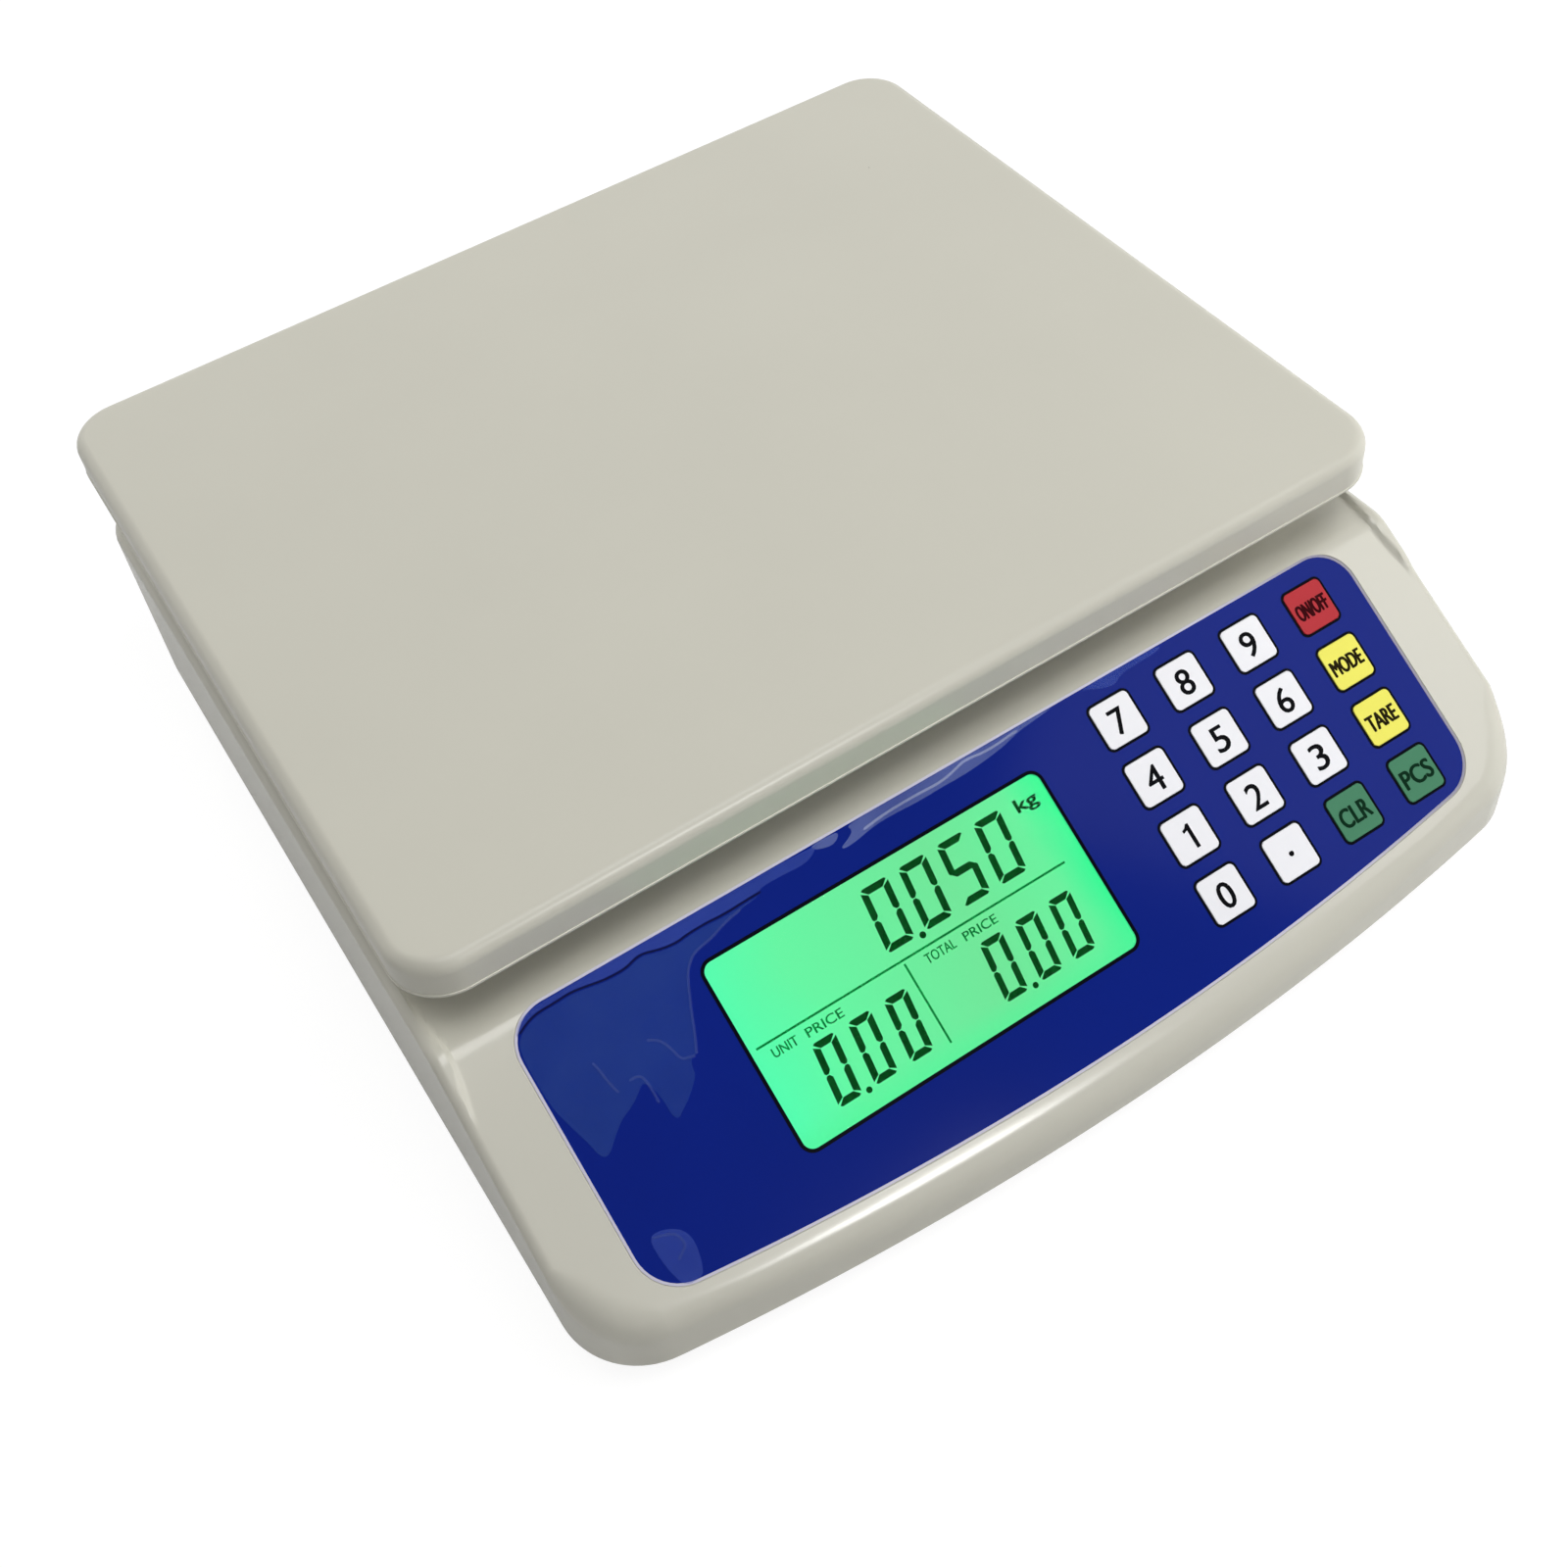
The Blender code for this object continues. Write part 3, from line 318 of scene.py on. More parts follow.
def edged_copy(node, finish, edge=0.3 * MM, body=HOUSING):
    """A copy of a CAD node with its triangles merged, its corners rounded and a new finish."""
    bm = bmesh.new()
    bm.from_mesh(frame["nodes"][node].data)
    bmesh.ops.remove_doubles(bm, verts=bm.verts, dist=MERGE)
    bmesh.ops.dissolve_limit(bm, angle_limit=math.radians(FLAT_ANGLE), verts=bm.verts, edges=bm.edges)
    piece = new_piece(node + "_finished", bm, finish)
    bevel = piece.modifiers.new("edges", "BEVEL")
    bevel.width = edge
    bevel.segments = 2
    bevel.limit_method = "ANGLE"
    bevel.angle_limit = math.radians(CORNER_ANGLE)
    bake_modifiers(piece)
    soften(piece)
    place_piece(piece, body, [node])


base_plastic = skin("base_plastic", (196, 194, 181), 0.42, mottle=0.04, specks=0.35, grain=0.45 * MM,
                    depth=0.012 * MM)
edged_copy("lower_casing", base_plastic, 0.5 * MM)
edged_copy("battery_cover", base_plastic, 0.35 * MM)

# ---------------------------------------------------------------- Feet and pads
# Four moulded rubber feet are pushed into the base, and four rubber pads sit in the sockets
# under the platform. Black rubber: matte, dusty, with a slightly open grain.
feet_rubber = skin("feet_rubber", (38, 38, 39), 0.78, mottle=0.12, smudge=0.15, grain=0.25 * MM,
                   depth=0.01 * MM)


def numbered(stem, count):
    return [f"{stem}_{number}" for number in range(1, count + 1)]


for node in numbered("foot", 4):
    edged_copy(node, feet_rubber, 0.25 * MM)
for node in numbered("platform_pad", 4):
    edged_copy(node, feet_rubber, 0.2 * MM, "platform")

# ---------------------------------------------------------------- Screws and bolts
# Cross-head screws hold the base, the battery cover and the board, and heavier ones the load
# cell. Zinc-plated steel, each turned to its own angle. One tree sets them all out.
zinc = skin("zinc_plating", (178, 178, 172), 0.32, mottle=0.10, smudge=0.25, grain=0.3 * MM,
            depth=0.004 * MM, metallic=1.0)
CROSS_WIDTH, CROSS_LENGTH = 0.22, 0.62      # of the head's radius
HEAD_SIDES = 32


def carve(piece, operation, bm, place=Matrix.Identity(4), use_self=False):
    """Cuts away or adds a solid, and keeps the result as a plain mesh."""
    tool = new_piece("tool", bm)
    tool.data.transform(place)
    work = piece.modifiers.new("carving", "BOOLEAN")
    work.operation = operation
    work.object = tool
    work.use_self = use_self
    bake_modifiers(piece)
    bpy.data.objects.remove(tool)


def screw_mesh(name, head_radius, head_height, shank_radius, length):
    """A cross-head screw with its seat at z = 0 and its head above."""
    profile = [(0.0, head_height)]
    for step in range(7):
        turn = math.radians(90 - 15 * step)
        profile.append((head_radius * (0.72 + 0.28 * math.cos(turn)),
                        head_height * (0.45 + 0.55 * math.sin(turn))))
    profile += [(head_radius, 0.0), (shank_radius, 0.0), (shank_radius, -length * 0.9),
                (shank_radius * 0.3, -length), (0.0, -length)]
    bm = bmesh.new()
    verts = [bm.verts.new((radius, 0.0, z)) for radius, z in profile]
    edges = [bm.edges.new(pair) for pair in zip(verts, verts[1:])]
    bmesh.ops.spin(bm, geom=verts + edges, cent=(0, 0, 0), axis=(0, 0, 1), dvec=(0, 0, 0),
                   angle=math.tau, steps=HEAD_SIDES, use_merge=True)
    bmesh.ops.remove_doubles(bm, verts=bm.verts, dist=0.001 * MM)
    screw = new_piece(name, bm)
    cross = bmesh.new()
    for across, along in ((CROSS_LENGTH, CROSS_WIDTH), (CROSS_WIDTH, CROSS_LENGTH)):
        size = Matrix.Diagonal((2 * head_radius * across, 2 * head_radius * along, head_height * 1.2, 1.0))
        bmesh.ops.create_cube(cross, size=1.0, matrix=Matrix.Translation((0, 0, head_height)) @ size)
    carve(screw, "DIFFERENCE", cross, use_self=True)
    soften(screw, 30)
    return screw


def fastener_tree():
    """Geometry nodes: a copy of one pattern on every point, all pointing one way, each spun."""
    tree = bpy.data.node_groups.new("set_out_copies", "GeometryNodeTree")
    for name, kind in (("Points", "NodeSocketGeometry"), ("Pattern", "NodeSocketObject"),
                       ("Pointing", "NodeSocketRotation"), ("Free Turn", "NodeSocketFloat"),
                       ("Seed", "NodeSocketInt"), ("Finish", "NodeSocketMaterial")):
        tree.interface.new_socket(name, in_out="INPUT", socket_type=kind)
    tree.interface.new_socket("Copies", in_out="OUTPUT", socket_type="NodeSocketGeometry")
    given = add_node(tree, "NodeGroupInput").outputs
    pattern = add_node(tree, "GeometryNodeObjectInfo", {"Object": given["Pattern"], "As Instance": True})
    spin = add_node(tree, "FunctionNodeRandomValue", {"Seed": given["Seed"], 3: given["Free Turn"]},
                    data_type="FLOAT")
    around = add_node(tree, "ShaderNodeCombineXYZ", {"Z": spin.outputs[1]})
    about = add_node(tree, "FunctionNodeEulerToRotation", {0: around.outputs[0]})
    turned = add_node(tree, "FunctionNodeRotateRotation", {0: given["Pointing"], 1: about.outputs[0]},
                      rotation_space="LOCAL")
    placed = add_node(tree, "GeometryNodeInstanceOnPoints", {
        "Points": given["Points"], "Instance": pattern.outputs["Geometry"], "Rotation": turned.outputs[0]})
    real = add_node(tree, "GeometryNodeRealizeInstances", {"Geometry": placed.outputs[0]})
    done = add_node(tree, "GeometryNodeSetMaterial", {"Geometry": real.outputs[0],
                                                     "Material": given["Finish"]})
    add_node(tree, "NodeGroupOutput", {"Copies": done.outputs[0]})
    return tree


SET_OUT = fastener_tree()


def set_out(name, pattern, seats, pointing, nodes, body, finish=zinc, free_turn=math.tau, seed=0):
    """Uses up the pattern: a copy at every seat, as one piece that stands for those CAD nodes."""
    mesh = bpy.data.meshes.new(name)
    mesh.from_pydata(seats, [], [])
    piece = link_object(name, mesh)
    layout = piece.modifiers.new("layout", "NODES")
    layout.node_group = SET_OUT
    sockets = {item.name: item.identifier for item in SET_OUT.interface.items_tree
               if item.in_out == "INPUT"}
    values = {"Pattern": pattern, "Pointing": pointing, "Free Turn": free_turn, "Seed": seed,
              "Finish": finish}
    for socket, value in values.items():
        layout[sockets[socket]] = value
    bake_modifiers(piece)
    bpy.data.objects.remove(pattern)
    place_piece(piece, body, nodes)


def seat_points(nodes, head_height, axis):
    """Where each CAD screw's head seats: its own end along the axis, less the head's height."""
    points = []
    for node in nodes:
        low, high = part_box(node)
        middle = (low + high) / 2
        reach = max(vertex.co.dot(axis) for vertex in frame["nodes"][node].data.vertices)
        points.append(middle + axis * (reach - head_height - middle.dot(axis)))
    return points


DOWN = Vector((0.0, 0.0, -1.0))
UP = Vector((0.0, 0.0, 1.0))
press_axis = frame["joints"][-1]["axis"]      # of a key, straight into the sloping panel
tilt = math.atan2(press_axis[1], -press_axis[2])
OUT_OF_PANEL = Vector((0.0, -math.sin(tilt), math.cos(tilt)))
UPSIDE_DOWN = (math.pi, 0.0, 0.0)
# piece, nodes, how many, head radius, head height, shank radius and length in mm, side, turn, body, seed
fastenings = [
    ("case_screws", "case_screw", 6, (2.8, 1.2, 1.3, 11.0), DOWN, UPSIDE_DOWN, HOUSING, 3),
    ("cover_screws", "cover_screw", 2, (2.5, 0.9, 1.1, 6.5), DOWN, UPSIDE_DOWN, HOUSING, 5),
    ("cell_base_bolts", "cell_base_bolt", 2, (4.2, 2.3, 2.2, 16.0), DOWN, UPSIDE_DOWN, HOUSING, 7),
    ("cell_top_bolts", "cell_top_bolt", 2, (4.2, 2.3, 2.2, 16.0), UP, (0.0, 0.0, 0.0),
     "weigh_support", 11),
    ("board_screws", "board_screw", 6, (2.2, 1.4, 1.0, 6.0), -OUT_OF_PANEL,
     (math.pi + tilt, 0.0, 0.0), HOUSING, 13),
]
for name, stem, count, sizes, axis, pointing, body, seed in fastenings:
    nodes = numbered(stem, count)
    sizes = [size * MM for size in sizes]
    pattern = screw_mesh(name + "_pattern", *sizes)
    set_out(name, pattern, seat_points(nodes, sizes[1], axis), pointing, nodes, body,
            seed=seed)

# ---------------------------------------------------------------- Load cell
# A milled aluminium bar with two joined bores, which bends a little under the load. Steel
# blocks hold it off the base and off the platform's support, and the bar shows its milling.
def streaked_metal(name, colour, roughness, along):
    """Metal with fine tool marks; along is the stretch of the marks on each axis."""
    made = skin(name, colour, roughness, mottle=0.06, smudge=0.2, grain=0.35 * MM,
                depth=0.006 * MM, metallic=1.0)
    tree = made.node_tree
    drawn = add_node(tree, "ShaderNodeMapping", {"Vector": object_place(tree), "Scale": along})
    feed(tree, tree.nodes["Bump"].inputs, {"Height": noise(tree, drawn.outputs[0], 900.0, 3.0)})
    return made


milled = streaked_metal("milled_aluminium", (205, 207, 208), 0.38, (0.04, 1.0, 1.0))
block_steel = streaked_metal("block_steel", (150, 151, 150), 0.4, (1.0, 0.08, 1.0))
edged_copy("load_cell", milled, 0.4 * MM)
edged_copy("cell_base_block", block_steel)
edged_copy("cell_top_block", block_steel, body="weigh_support")

# ---------------------------------------------------------------- Battery and power socket
# A rechargeable pack in a dark sleeve lies in the bay behind the load cell, and a black
# barrel socket behind the back wall takes the charger's plug.
sleeve = skin("battery_sleeve", (44, 46, 52), 0.38, mottle=0.15, smudge=0.2, grain=1.6 * MM,
              depth=0.02 * MM)
socket_black = skin("socket_black", (24, 24, 25), 0.4, mottle=0.1, grain=0.3 * MM)
edged_copy("battery", sleeve, 0.6 * MM)
edged_copy("power_socket", socket_black, 0.15 * MM)
edged_copy("socket_pin", zinc, 0.1 * MM)

# ---------------------------------------------------------------- Circuit board
# A green laminate board hangs from bosses under the sloping panel. It carries the buzzer, the
# milky backlight of the display and a grey silicone mat with one dome under each key.
laminate = skin("green_laminate", (18, 92, 48), 0.42, mottle=0.25, smudge=0.2, grain=1.2 * MM,
                depth=0.02 * MM)
silicone = skin("grey_silicone", (150, 153, 155), 0.62, mottle=0.05, smudge=0.1, grain=0.3 * MM,
                depth=0.006 * MM)
diffuser = skin("milky_diffuser", (222, 246, 228), 0.35, mottle=0.03, grain=0.5 * MM)
buzzer_black = skin("buzzer_black", (22, 22, 23), 0.45, mottle=0.1, grain=0.3 * MM, depth=0.006 * MM)
edged_copy("main_board", laminate, 0.15 * MM)
edged_copy("buzzer", buzzer_black)
edged_copy("backlight", diffuser, 0.25 * MM)
edged_copy("dome_mat", silicone, 0.2 * MM)

# ---------------------------------------------------------------- Display glass
# A glass display cell lit from behind in green, brighter and more minty towards its ends. The
# dark segments, rules and small words are electrodes inside it, under the panel's window.
deck_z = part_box("upper_casing")[1].z
OVERLAY_DEPTH = 0.7 * MM            # underside of the graphic overlay, below the panel face
fold_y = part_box("graphic_overlay")[1].y - OVERLAY_DEPTH * math.sin(tilt)
panel = Matrix.Translation((0.0, fold_y, deck_z)) @ Matrix.Rotation(tilt, 4, "X")
to_panel = panel.inverted()


def panel_box(node):
    """Lowest and highest corners of a CAD node in the panel's own frame."""
    points = [to_panel @ vertex.co for vertex in frame["nodes"][node].data.vertices]
    return [Vector([pick(values) for values in zip(*points)]) for pick in (min, max)]


def outline_stack(bm, sections, material_index=0):
    """Adds the closed solid through like (x, y) outlines, each given with its height."""
    rings = [[bm.verts.new((x, y, z)) for x, y in outline] for outline, z in sections]
    faces = [bm.faces.new(rings[0][::-1]), bm.faces.new(rings[-1])]
    for under, over in zip(rings, rings[1:]):
        for i in range(len(under)):
            faces.append(bm.faces.new((under[i - 1], under[i], over[i], over[i - 1])))
    for face in faces:
        face.material_index = material_index


def prism(bm, outline, low, high, material_index=0):
    outline_stack(bm, [(outline, low), (outline, high)], material_index)


def bold_lettering(bm, words, centre, size, height, thick, bolder, material_index=0):
    """Adds raised letters that fill a box, printed five times, a little to every side."""
    curve = bpy.data.curves.new("lettering", "FONT")
    curve.body = words
    curve.extrude = 0.5
    curve.resolution_u = 4
    shape = link_object("lettering", curve)
    graph = bpy.context.evaluated_depsgraph_get()
    plain = bpy.data.meshes.new_from_object(shape.evaluated_get(graph), depsgraph=graph)
    bpy.data.objects.remove(shape)
    for polygon in plain.polygons:
        polygon.material_index = material_index
    xs, ys = [sorted(vertex.co[axis] for vertex in plain.vertices) for axis in (0, 1)]
    wide, tall = xs[-1] - xs[0], ys[-1] - ys[0]
    middle = Matrix.Translation((-(xs[0] + xs[-1]) / 2, -(ys[0] + ys[-1]) / 2, 0.5))
    for copy, (x, y) in enumerate(((-1, 0.4), (-0.5, -0.4), (0, 0.4), (0.5, -0.4), (1, 0.4))):
        fitted = Matrix.Diagonal((size[0] / wide, size[1] / tall, thick + 0.001 * MM * copy, 1.0))
        place = Matrix.Translation((centre[0] + x * bolder, centre[1] + y * bolder, height))
        letters = plain.copy()
        letters.transform(place @ fitted @ middle)
        bm.from_mesh(letters)
        bmesh.ops.remove_doubles(bm, verts=bm.verts, dist=0.0005 * MM)


# places from the left end, -1, to the right end, 1, and their colours
GLOW = [(-1.0, (84, 252, 176)), (-0.6, (102, 244, 163)), (0.3, (113, 229, 153)),
        (0.8, (106, 239, 158)), (0.95, (70, 244, 153)), (1.0, (58, 246, 150))]


def lit_glass():
    """Backlit green: minty at both ends, a little duller in the middle, brighter at the foot."""
    made, tree, shader = new_material("lit_display")
    where = object_place(tree)
    low, high = panel_box("display_window")
    local = add_node(tree, "ShaderNodeMapping", {
        "Vector": where, "Location": panel @ ((low + high) / 2), "Rotation": (tilt, 0.0, 0.0)},
        vector_type="TEXTURE")
    parts = add_node(tree, "ShaderNodeSeparateXYZ", {0: local.outputs[0]}).outputs
    across = calculate(tree, "MULTIPLY_ADD", parts["X"], 1 / (high.x - low.x), 0.5)
    drift = calculate(tree, "SUBTRACT", noise(tree, where, 45.0, 1.0), 0.5)
    along = calculate(tree, "MULTIPLY_ADD", drift, 0.10, across)
    glow = add_node(tree, "ShaderNodeValToRGB", {0: along})
    stops = glow.color_ramp.elements
    while len(stops) < len(GLOW):
        stops.new(0.5)
    for stop, (place, colour) in zip(stops, GLOW):
        stop.position = (place + 1) / 2
        stop.color = linear(*colour)
    down = calculate(tree, "MULTIPLY", parts["Y"], -2 / (high.y - low.y))
    foot = remap(tree, down, (0.7, 1.0), (0.0, 0.55), interpolation_type="SMOOTHSTEP")
    feed(tree, shader, {"Emission Color": mix(tree, foot, glow.outputs[0], linear(80, 243, 154)),
                        "Emission Strength": 1.0, "Base Color": linear(6, 16, 10),
                        "Roughness": 0.2, "Specular IOR Level": 0.03})
    return made


edged_copy("lcd_glass", lit_glass(), 0.2 * MM)

SEGMENT_LEAN = 0.105                # how far the digits lean to the right, of their height
SEGMENT_STROKE = 0.11               # of the digit's height
SEGMENT_SPLIT = 0.008               # half the gap at a joint, of the digit's height
LIT_SEGMENTS = {"0": "abcdef", "5": "acdfg"}      # a to f go round from the top
INK_HEIGHT = panel_box("lcd_glass")[1].z
INK_THICK = 0.03 * MM


def ink(bm, outline):
    prism(bm, outline, INK_HEIGHT, INK_HEIGHT + INK_THICK)


def segment_digit(bm, digit, left, top, width, tall):
    """Adds a seven-segment digit; its upper left corner is at left, and at top down the panel."""
    stroke, split, half = SEGMENT_STROKE * tall, SEGMENT_SPLIT * tall, tall / 2
    corner = stroke * 0.35
    flat = [(split * 2 + corner, 0.0), (width - split * 2 - corner, 0.0),
            (width - split - corner * 0.4, corner * 0.6), (width - stroke - split, stroke),
            (stroke + split, stroke), (split + corner * 0.4, corner * 0.6)]
    upright = [(0.0, split * 2 + corner), (stroke, stroke + split),
               (stroke, half - split - stroke * 0.45), (stroke * 0.62, half - split),
               (stroke * 0.2, half - split), (0.0, half - split - stroke * 0.3)]
    middle = [(split + stroke * 0.3, half), (stroke, half + stroke / 2),
              (width - stroke, half + stroke / 2), (width - split - stroke * 0.3, half),
              (width - stroke, half - stroke / 2), (stroke, half - stroke / 2)]
    # each shape is mirrored into the corner that it belongs to
    segments = {"a": (flat, "up"), "d": (flat, "down"), "g": (middle, "down"), "f": (upright, "up"),
                "b": (upright, "up right"), "e": (upright, "down"), "c": (upright, "down right")}
    for name in LIT_SEGMENTS[digit]:
        shape, corner_of = segments[name]
        outline = []
        for x, y in shape:
            x, y = width - x if "right" in corner_of else x, tall - y if "up" in corner_of else y
            outline.append((left + x - (tall - y) * SEGMENT_LEAN, y - tall - top))
        ink(bm, outline)


def rectangle(left, low, right, high):
    return [(left, low), (right, low), (right, high), (left, high)]


def arc(centre, radius, start, end, steps):
    turns = [start + (end - start) * step / steps for step in range(steps + 1)]
    return [(centre[0] + radius * math.cos(turn), centre[1] + radius * math.sin(turn)) for turn in turns]


def circle(x, y, radius, sides=16):
    return arc((x, y), radius, 0.0, math.tau, sides)[:-1]


def settle(piece, nodes=(), body=HOUSING, crisp=None):
    """Moves a piece from the panel's frame into place; crisp is its smoothing angle."""
    piece.data.transform(panel)
    if crisp:
        soften(piece, crisp)
    place_piece(piece, body, nodes)


# in mm on the panel: digits with their left edges, top, width and height; points with a radius
readouts = [("0050", (-27.5, -18.9, -10.2, -1.7), 12.0, 6.1, 12.5),
            ("000", (-49.9, -42.1, -34.2), 31.3, 5.0, 12.2),
            ("000", (-12.8, -4.8, 3.0), 31.6, 5.1, 11.9)]
points = [(-21.2, 24.8, 0.66), (-44.8, 43.5, 0.6), (-7.4, 43.5, 0.6)]
rules = [(-58.9, 26.69, 10.3, 27.11), (-27.31, 27.6, -26.89, 44.2)]      # left, top, right, foot
small_words = [("UNIT", (-54.1, 29.1), (5.2, 1.8)), ("PRICE", (-45.6, 29.1), (7.8, 1.8)),
               ("TOTAL", (-19.9, 29.0), (6.5, 1.9)), ("PRICE", (-10.9, 29.1), (7.4, 1.8))]
segment_ink = skin("segment_ink", (2, 52, 14), 0.4, mottle=0.05, shine=0.0)
rule_ink = skin("rule_ink", (2, 104, 44), 0.4, mottle=0.05, shine=0.0)
bm = bmesh.new()
for digits, lefts, *sizes in readouts:
    for digit, left in zip(digits, lefts):
        segment_digit(bm, digit, left * MM, *[size * MM for size in sizes])
for x, v, radius in points:
    ink(bm, circle(x * MM, -v * MM, radius * MM))
bold_lettering(bm, "kg", (9.9 * MM, -13.8 * MM), (4.7 * MM, 3.4 * MM), INK_HEIGHT, INK_THICK, 0.12 * MM)
settle(new_piece("display_segments", bm, segment_ink))
bm = bmesh.new()
for left, top, right, foot in rules:
    ink(bm, rectangle(left * MM, -foot * MM, right * MM, -top * MM))
for words, (x, v), (wide, high) in small_words:
    bold_lettering(bm, words, (x * MM, -v * MM), (wide * MM, high * MM), INK_HEIGHT, INK_THICK, 0.04 * MM)
settle(new_piece("display_rules_and_words", bm, rule_ink))

# ---------------------------------------------------------------- Upper casing
# One ivory injection moulding: a drafted wall with rounded corners, a flat deck under the
# platform, and the sloping panel with a deep rounded lip that swells round the front corners.
casing_low, casing_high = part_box("upper_casing")
half_width, front_y, back_y, skirt_z = casing_high.x, casing_low.y, casing_high.y, casing_low.z
BOW = 676.0 * MM                    # of the front, in plan
CORNER = 17.0 * MM
WALL = 2.5 * MM
DRAFT = math.radians(2.3)
SIDE_RADIUS = 2.0 * MM              # rounding along the sides and the back
# radius of the lip by mm from the middle, then by degrees round the corner
LIP_ON_BOW = [(0, 9.0), (40, 8.2), (65, 6.9), (80, 5.8), (88, 6.2), (94, 6.9)]
LIP_ON_CORNER = [(0, 2.2), (8, 4.2), (20, 6.6), (36, 8.3), (56, 9.2), (72, 8.3), (82, 6.9)]
FOLD_BLEND = 1.8 * MM
SKIRT_CHAMFER = 0.35 * MM           # outside, round the lower edge
SHOULDER = 0.8 * MM                 # height of the small raised shoulders beside the fold
# where the shoulders begin, in mm from the middle, by mm behind the fold
SHOULDER_EDGE = [(-12, 108.6), (-10.4, 107.7), (-4.8, 106.1), (0, 105.5), (11, 107.0), (20, 108.6)]


def read_off(table, value):
    """Value of a table of (position, value) pairs, straight between its points."""
    for (x0, y0), (x1, y1) in zip(table, table[1:]):
        if value <= x1:
            return y0 + (y1 - y0) * max(0.0, (value - x0) / (x1 - x0))
    return table[-1][1]


def fade(value, low, high):
    step = min(1.0, max(0.0, (value - low) / (high - low)))
    return step * step * (3 - 2 * step)


def top_height(y, sink):
    """Height of the top at y, and its slope there; sink sets it back into the moulding."""
    back = y - fold_y - sink * math.tan(tilt / 2)
    level, slope = deck_z - sink, math.tan(tilt)
    if back >= FOLD_BLEND:
        return level, 0.0
    if back <= -FOLD_BLEND:
        return level + back * slope, slope
    ramp = (FOLD_BLEND - back) / (2 * FOLD_BLEND)
    return level - ramp * ramp * FOLD_BLEND * slope, ramp * slope


def shoulder(place, sink):
    """Height of the shoulders over the top at a place; the inside has none."""
    if sink:
        return 0.0
    back = (place.y - fold_y) / MM
    edge = read_off(SHOULDER_EDGE, back)
    rise = fade(abs(place.x) / MM, edge - 0.3, edge + 0.7)
    return SHOULDER * rise * fade(back, -12.0, -7.0) * fade(-back, -21.0, -11.0)


def casing_stations():
    """Plan points round the right half of the casing: (place, outward direction, rounding)."""
    swing = math.asin((half_width - CORNER) / (BOW - CORNER))
    corner_y = front_y + BOW - (BOW - CORNER) * math.cos(swing)
    found = []
    for step in range(25):
        turn = swing * step / 24
        place = Vector((BOW * math.sin(turn), front_y + BOW - BOW * math.cos(turn)))
        found.append((place, Vector((math.sin(turn), -math.cos(turn))),
                      read_off(LIP_ON_BOW, place.x / MM) * MM))
    for step in range(1, 19):
        turn = (math.pi / 2 - swing) * (1 - step / 18)
        out = Vector((math.cos(turn), -math.sin(turn)))
        found.append((Vector((half_width - CORNER, corner_y)) + out * CORNER, out,
                      read_off(LIP_ON_CORNER, math.degrees(turn)) * MM))
    steps = [-26, -20, -16, -14, -12.5, -11, -9.5, -8, -6.5, -5, -3.8, -2.6, -1.8, -1.2, -0.6, 0, 0.6,
             1.2, 1.8, 2.6, 3.8, 5, 6.5, 8, 9.5, 11, 12.5, 14, 16, 18, 20, 22, 50, 80, 110, 135]
    for back in steps:
        found.append((Vector((half_width, fold_y + back * MM)), Vector((1.0, 0.0)),
                      SIDE_RADIUS + fade(-back, 12.0, 30.0) * 0.2 * MM))
    for step in range(13):
        turn = math.pi / 2 * step / 12
        out = Vector((math.cos(turn), math.sin(turn)))
        found.append((Vector((half_width - CORNER, back_y - CORNER)) + out * CORNER, out, SIDE_RADIUS))
    return found + [(Vector((x * MM, back_y)), Vector((0.0, 1.0)), SIDE_RADIUS) for x in (60, 30, 0)]


def casing_section(place, out, radius, inset, sink, arc_steps, reaches):
    """Points up the wall, over the rounding and in over the top, as (distance in, height)."""
    level, slope = top_height(place.y, sink)
    level += shoulder(place, sink)
    slope = -out.y * slope
    lean_sine, lean_cosine = math.sin(DRAFT), math.cos(DRAFT)
    cosine = 1 / math.hypot(1.0, slope)
    in_c = radius + (level - radius / cosine - skirt_z) * lean_sine + inset * lean_cosine
    in_c /= lean_cosine - slope * lean_sine
    z_c = level + slope * in_c - radius / cosine      # in_c, z_c: the middle of the rounding
    chamfer = 0.0 if sink else SKIRT_CHAMFER
    wall_top = z_c + radius * lean_sine
    points = [(inset + chamfer, skirt_z)]
    for share in (0.0, 0.3, 0.65):
        z = skirt_z + chamfer + (wall_top - skirt_z - chamfer) * share
        points.append((inset + (z - skirt_z) * math.tan(DRAFT), z))
    points += arc((in_c, z_c), radius, math.pi - DRAFT, math.pi / 2 + math.atan(slope), arc_steps)
    last = points[-1][0]
    for reach in reaches:
        spot = place - out * (last + reach * MM)
        points.append((last + reach * MM, top_height(spot.y, sink)[0] + shoulder(spot, sink)))
    return points


def casing_skin(bm, inset, sink, arc_steps, reaches, thinner):
    """Adds one skin of the casing, open below, and returns both halves of its lowest ring."""
    sides = []
    for mirror in (1, -1):
        columns = []
        for place, out, radius in casing_stations():
            section = casing_section(place, out, max(radius - thinner, 0.6 * MM), inset, sink,
                                     arc_steps, reaches)
            spots = [(place - out * reach, z) for reach, z in section]
            columns.append([bm.verts.new((mirror * spot.x, spot.y, z)) for spot, z in spots])
        sides.append(columns)
    for columns in sides:
        for near, far in zip(columns, columns[1:]):
            for low in range(len(near) - 1):
                bm.faces.new((near[low], far[low], far[low + 1], near[low + 1]))
    inner_ends = [[column[-1] for column in columns] for columns in sides]
    for near_right, far_right, near_left, far_left in zip(inner_ends[0], inner_ends[0][1:],
                                                          inner_ends[1], inner_ends[1][1:]):
        bm.faces.new((near_right, far_right, far_left, near_left))
    return [[column[0] for column in columns] for columns in sides]


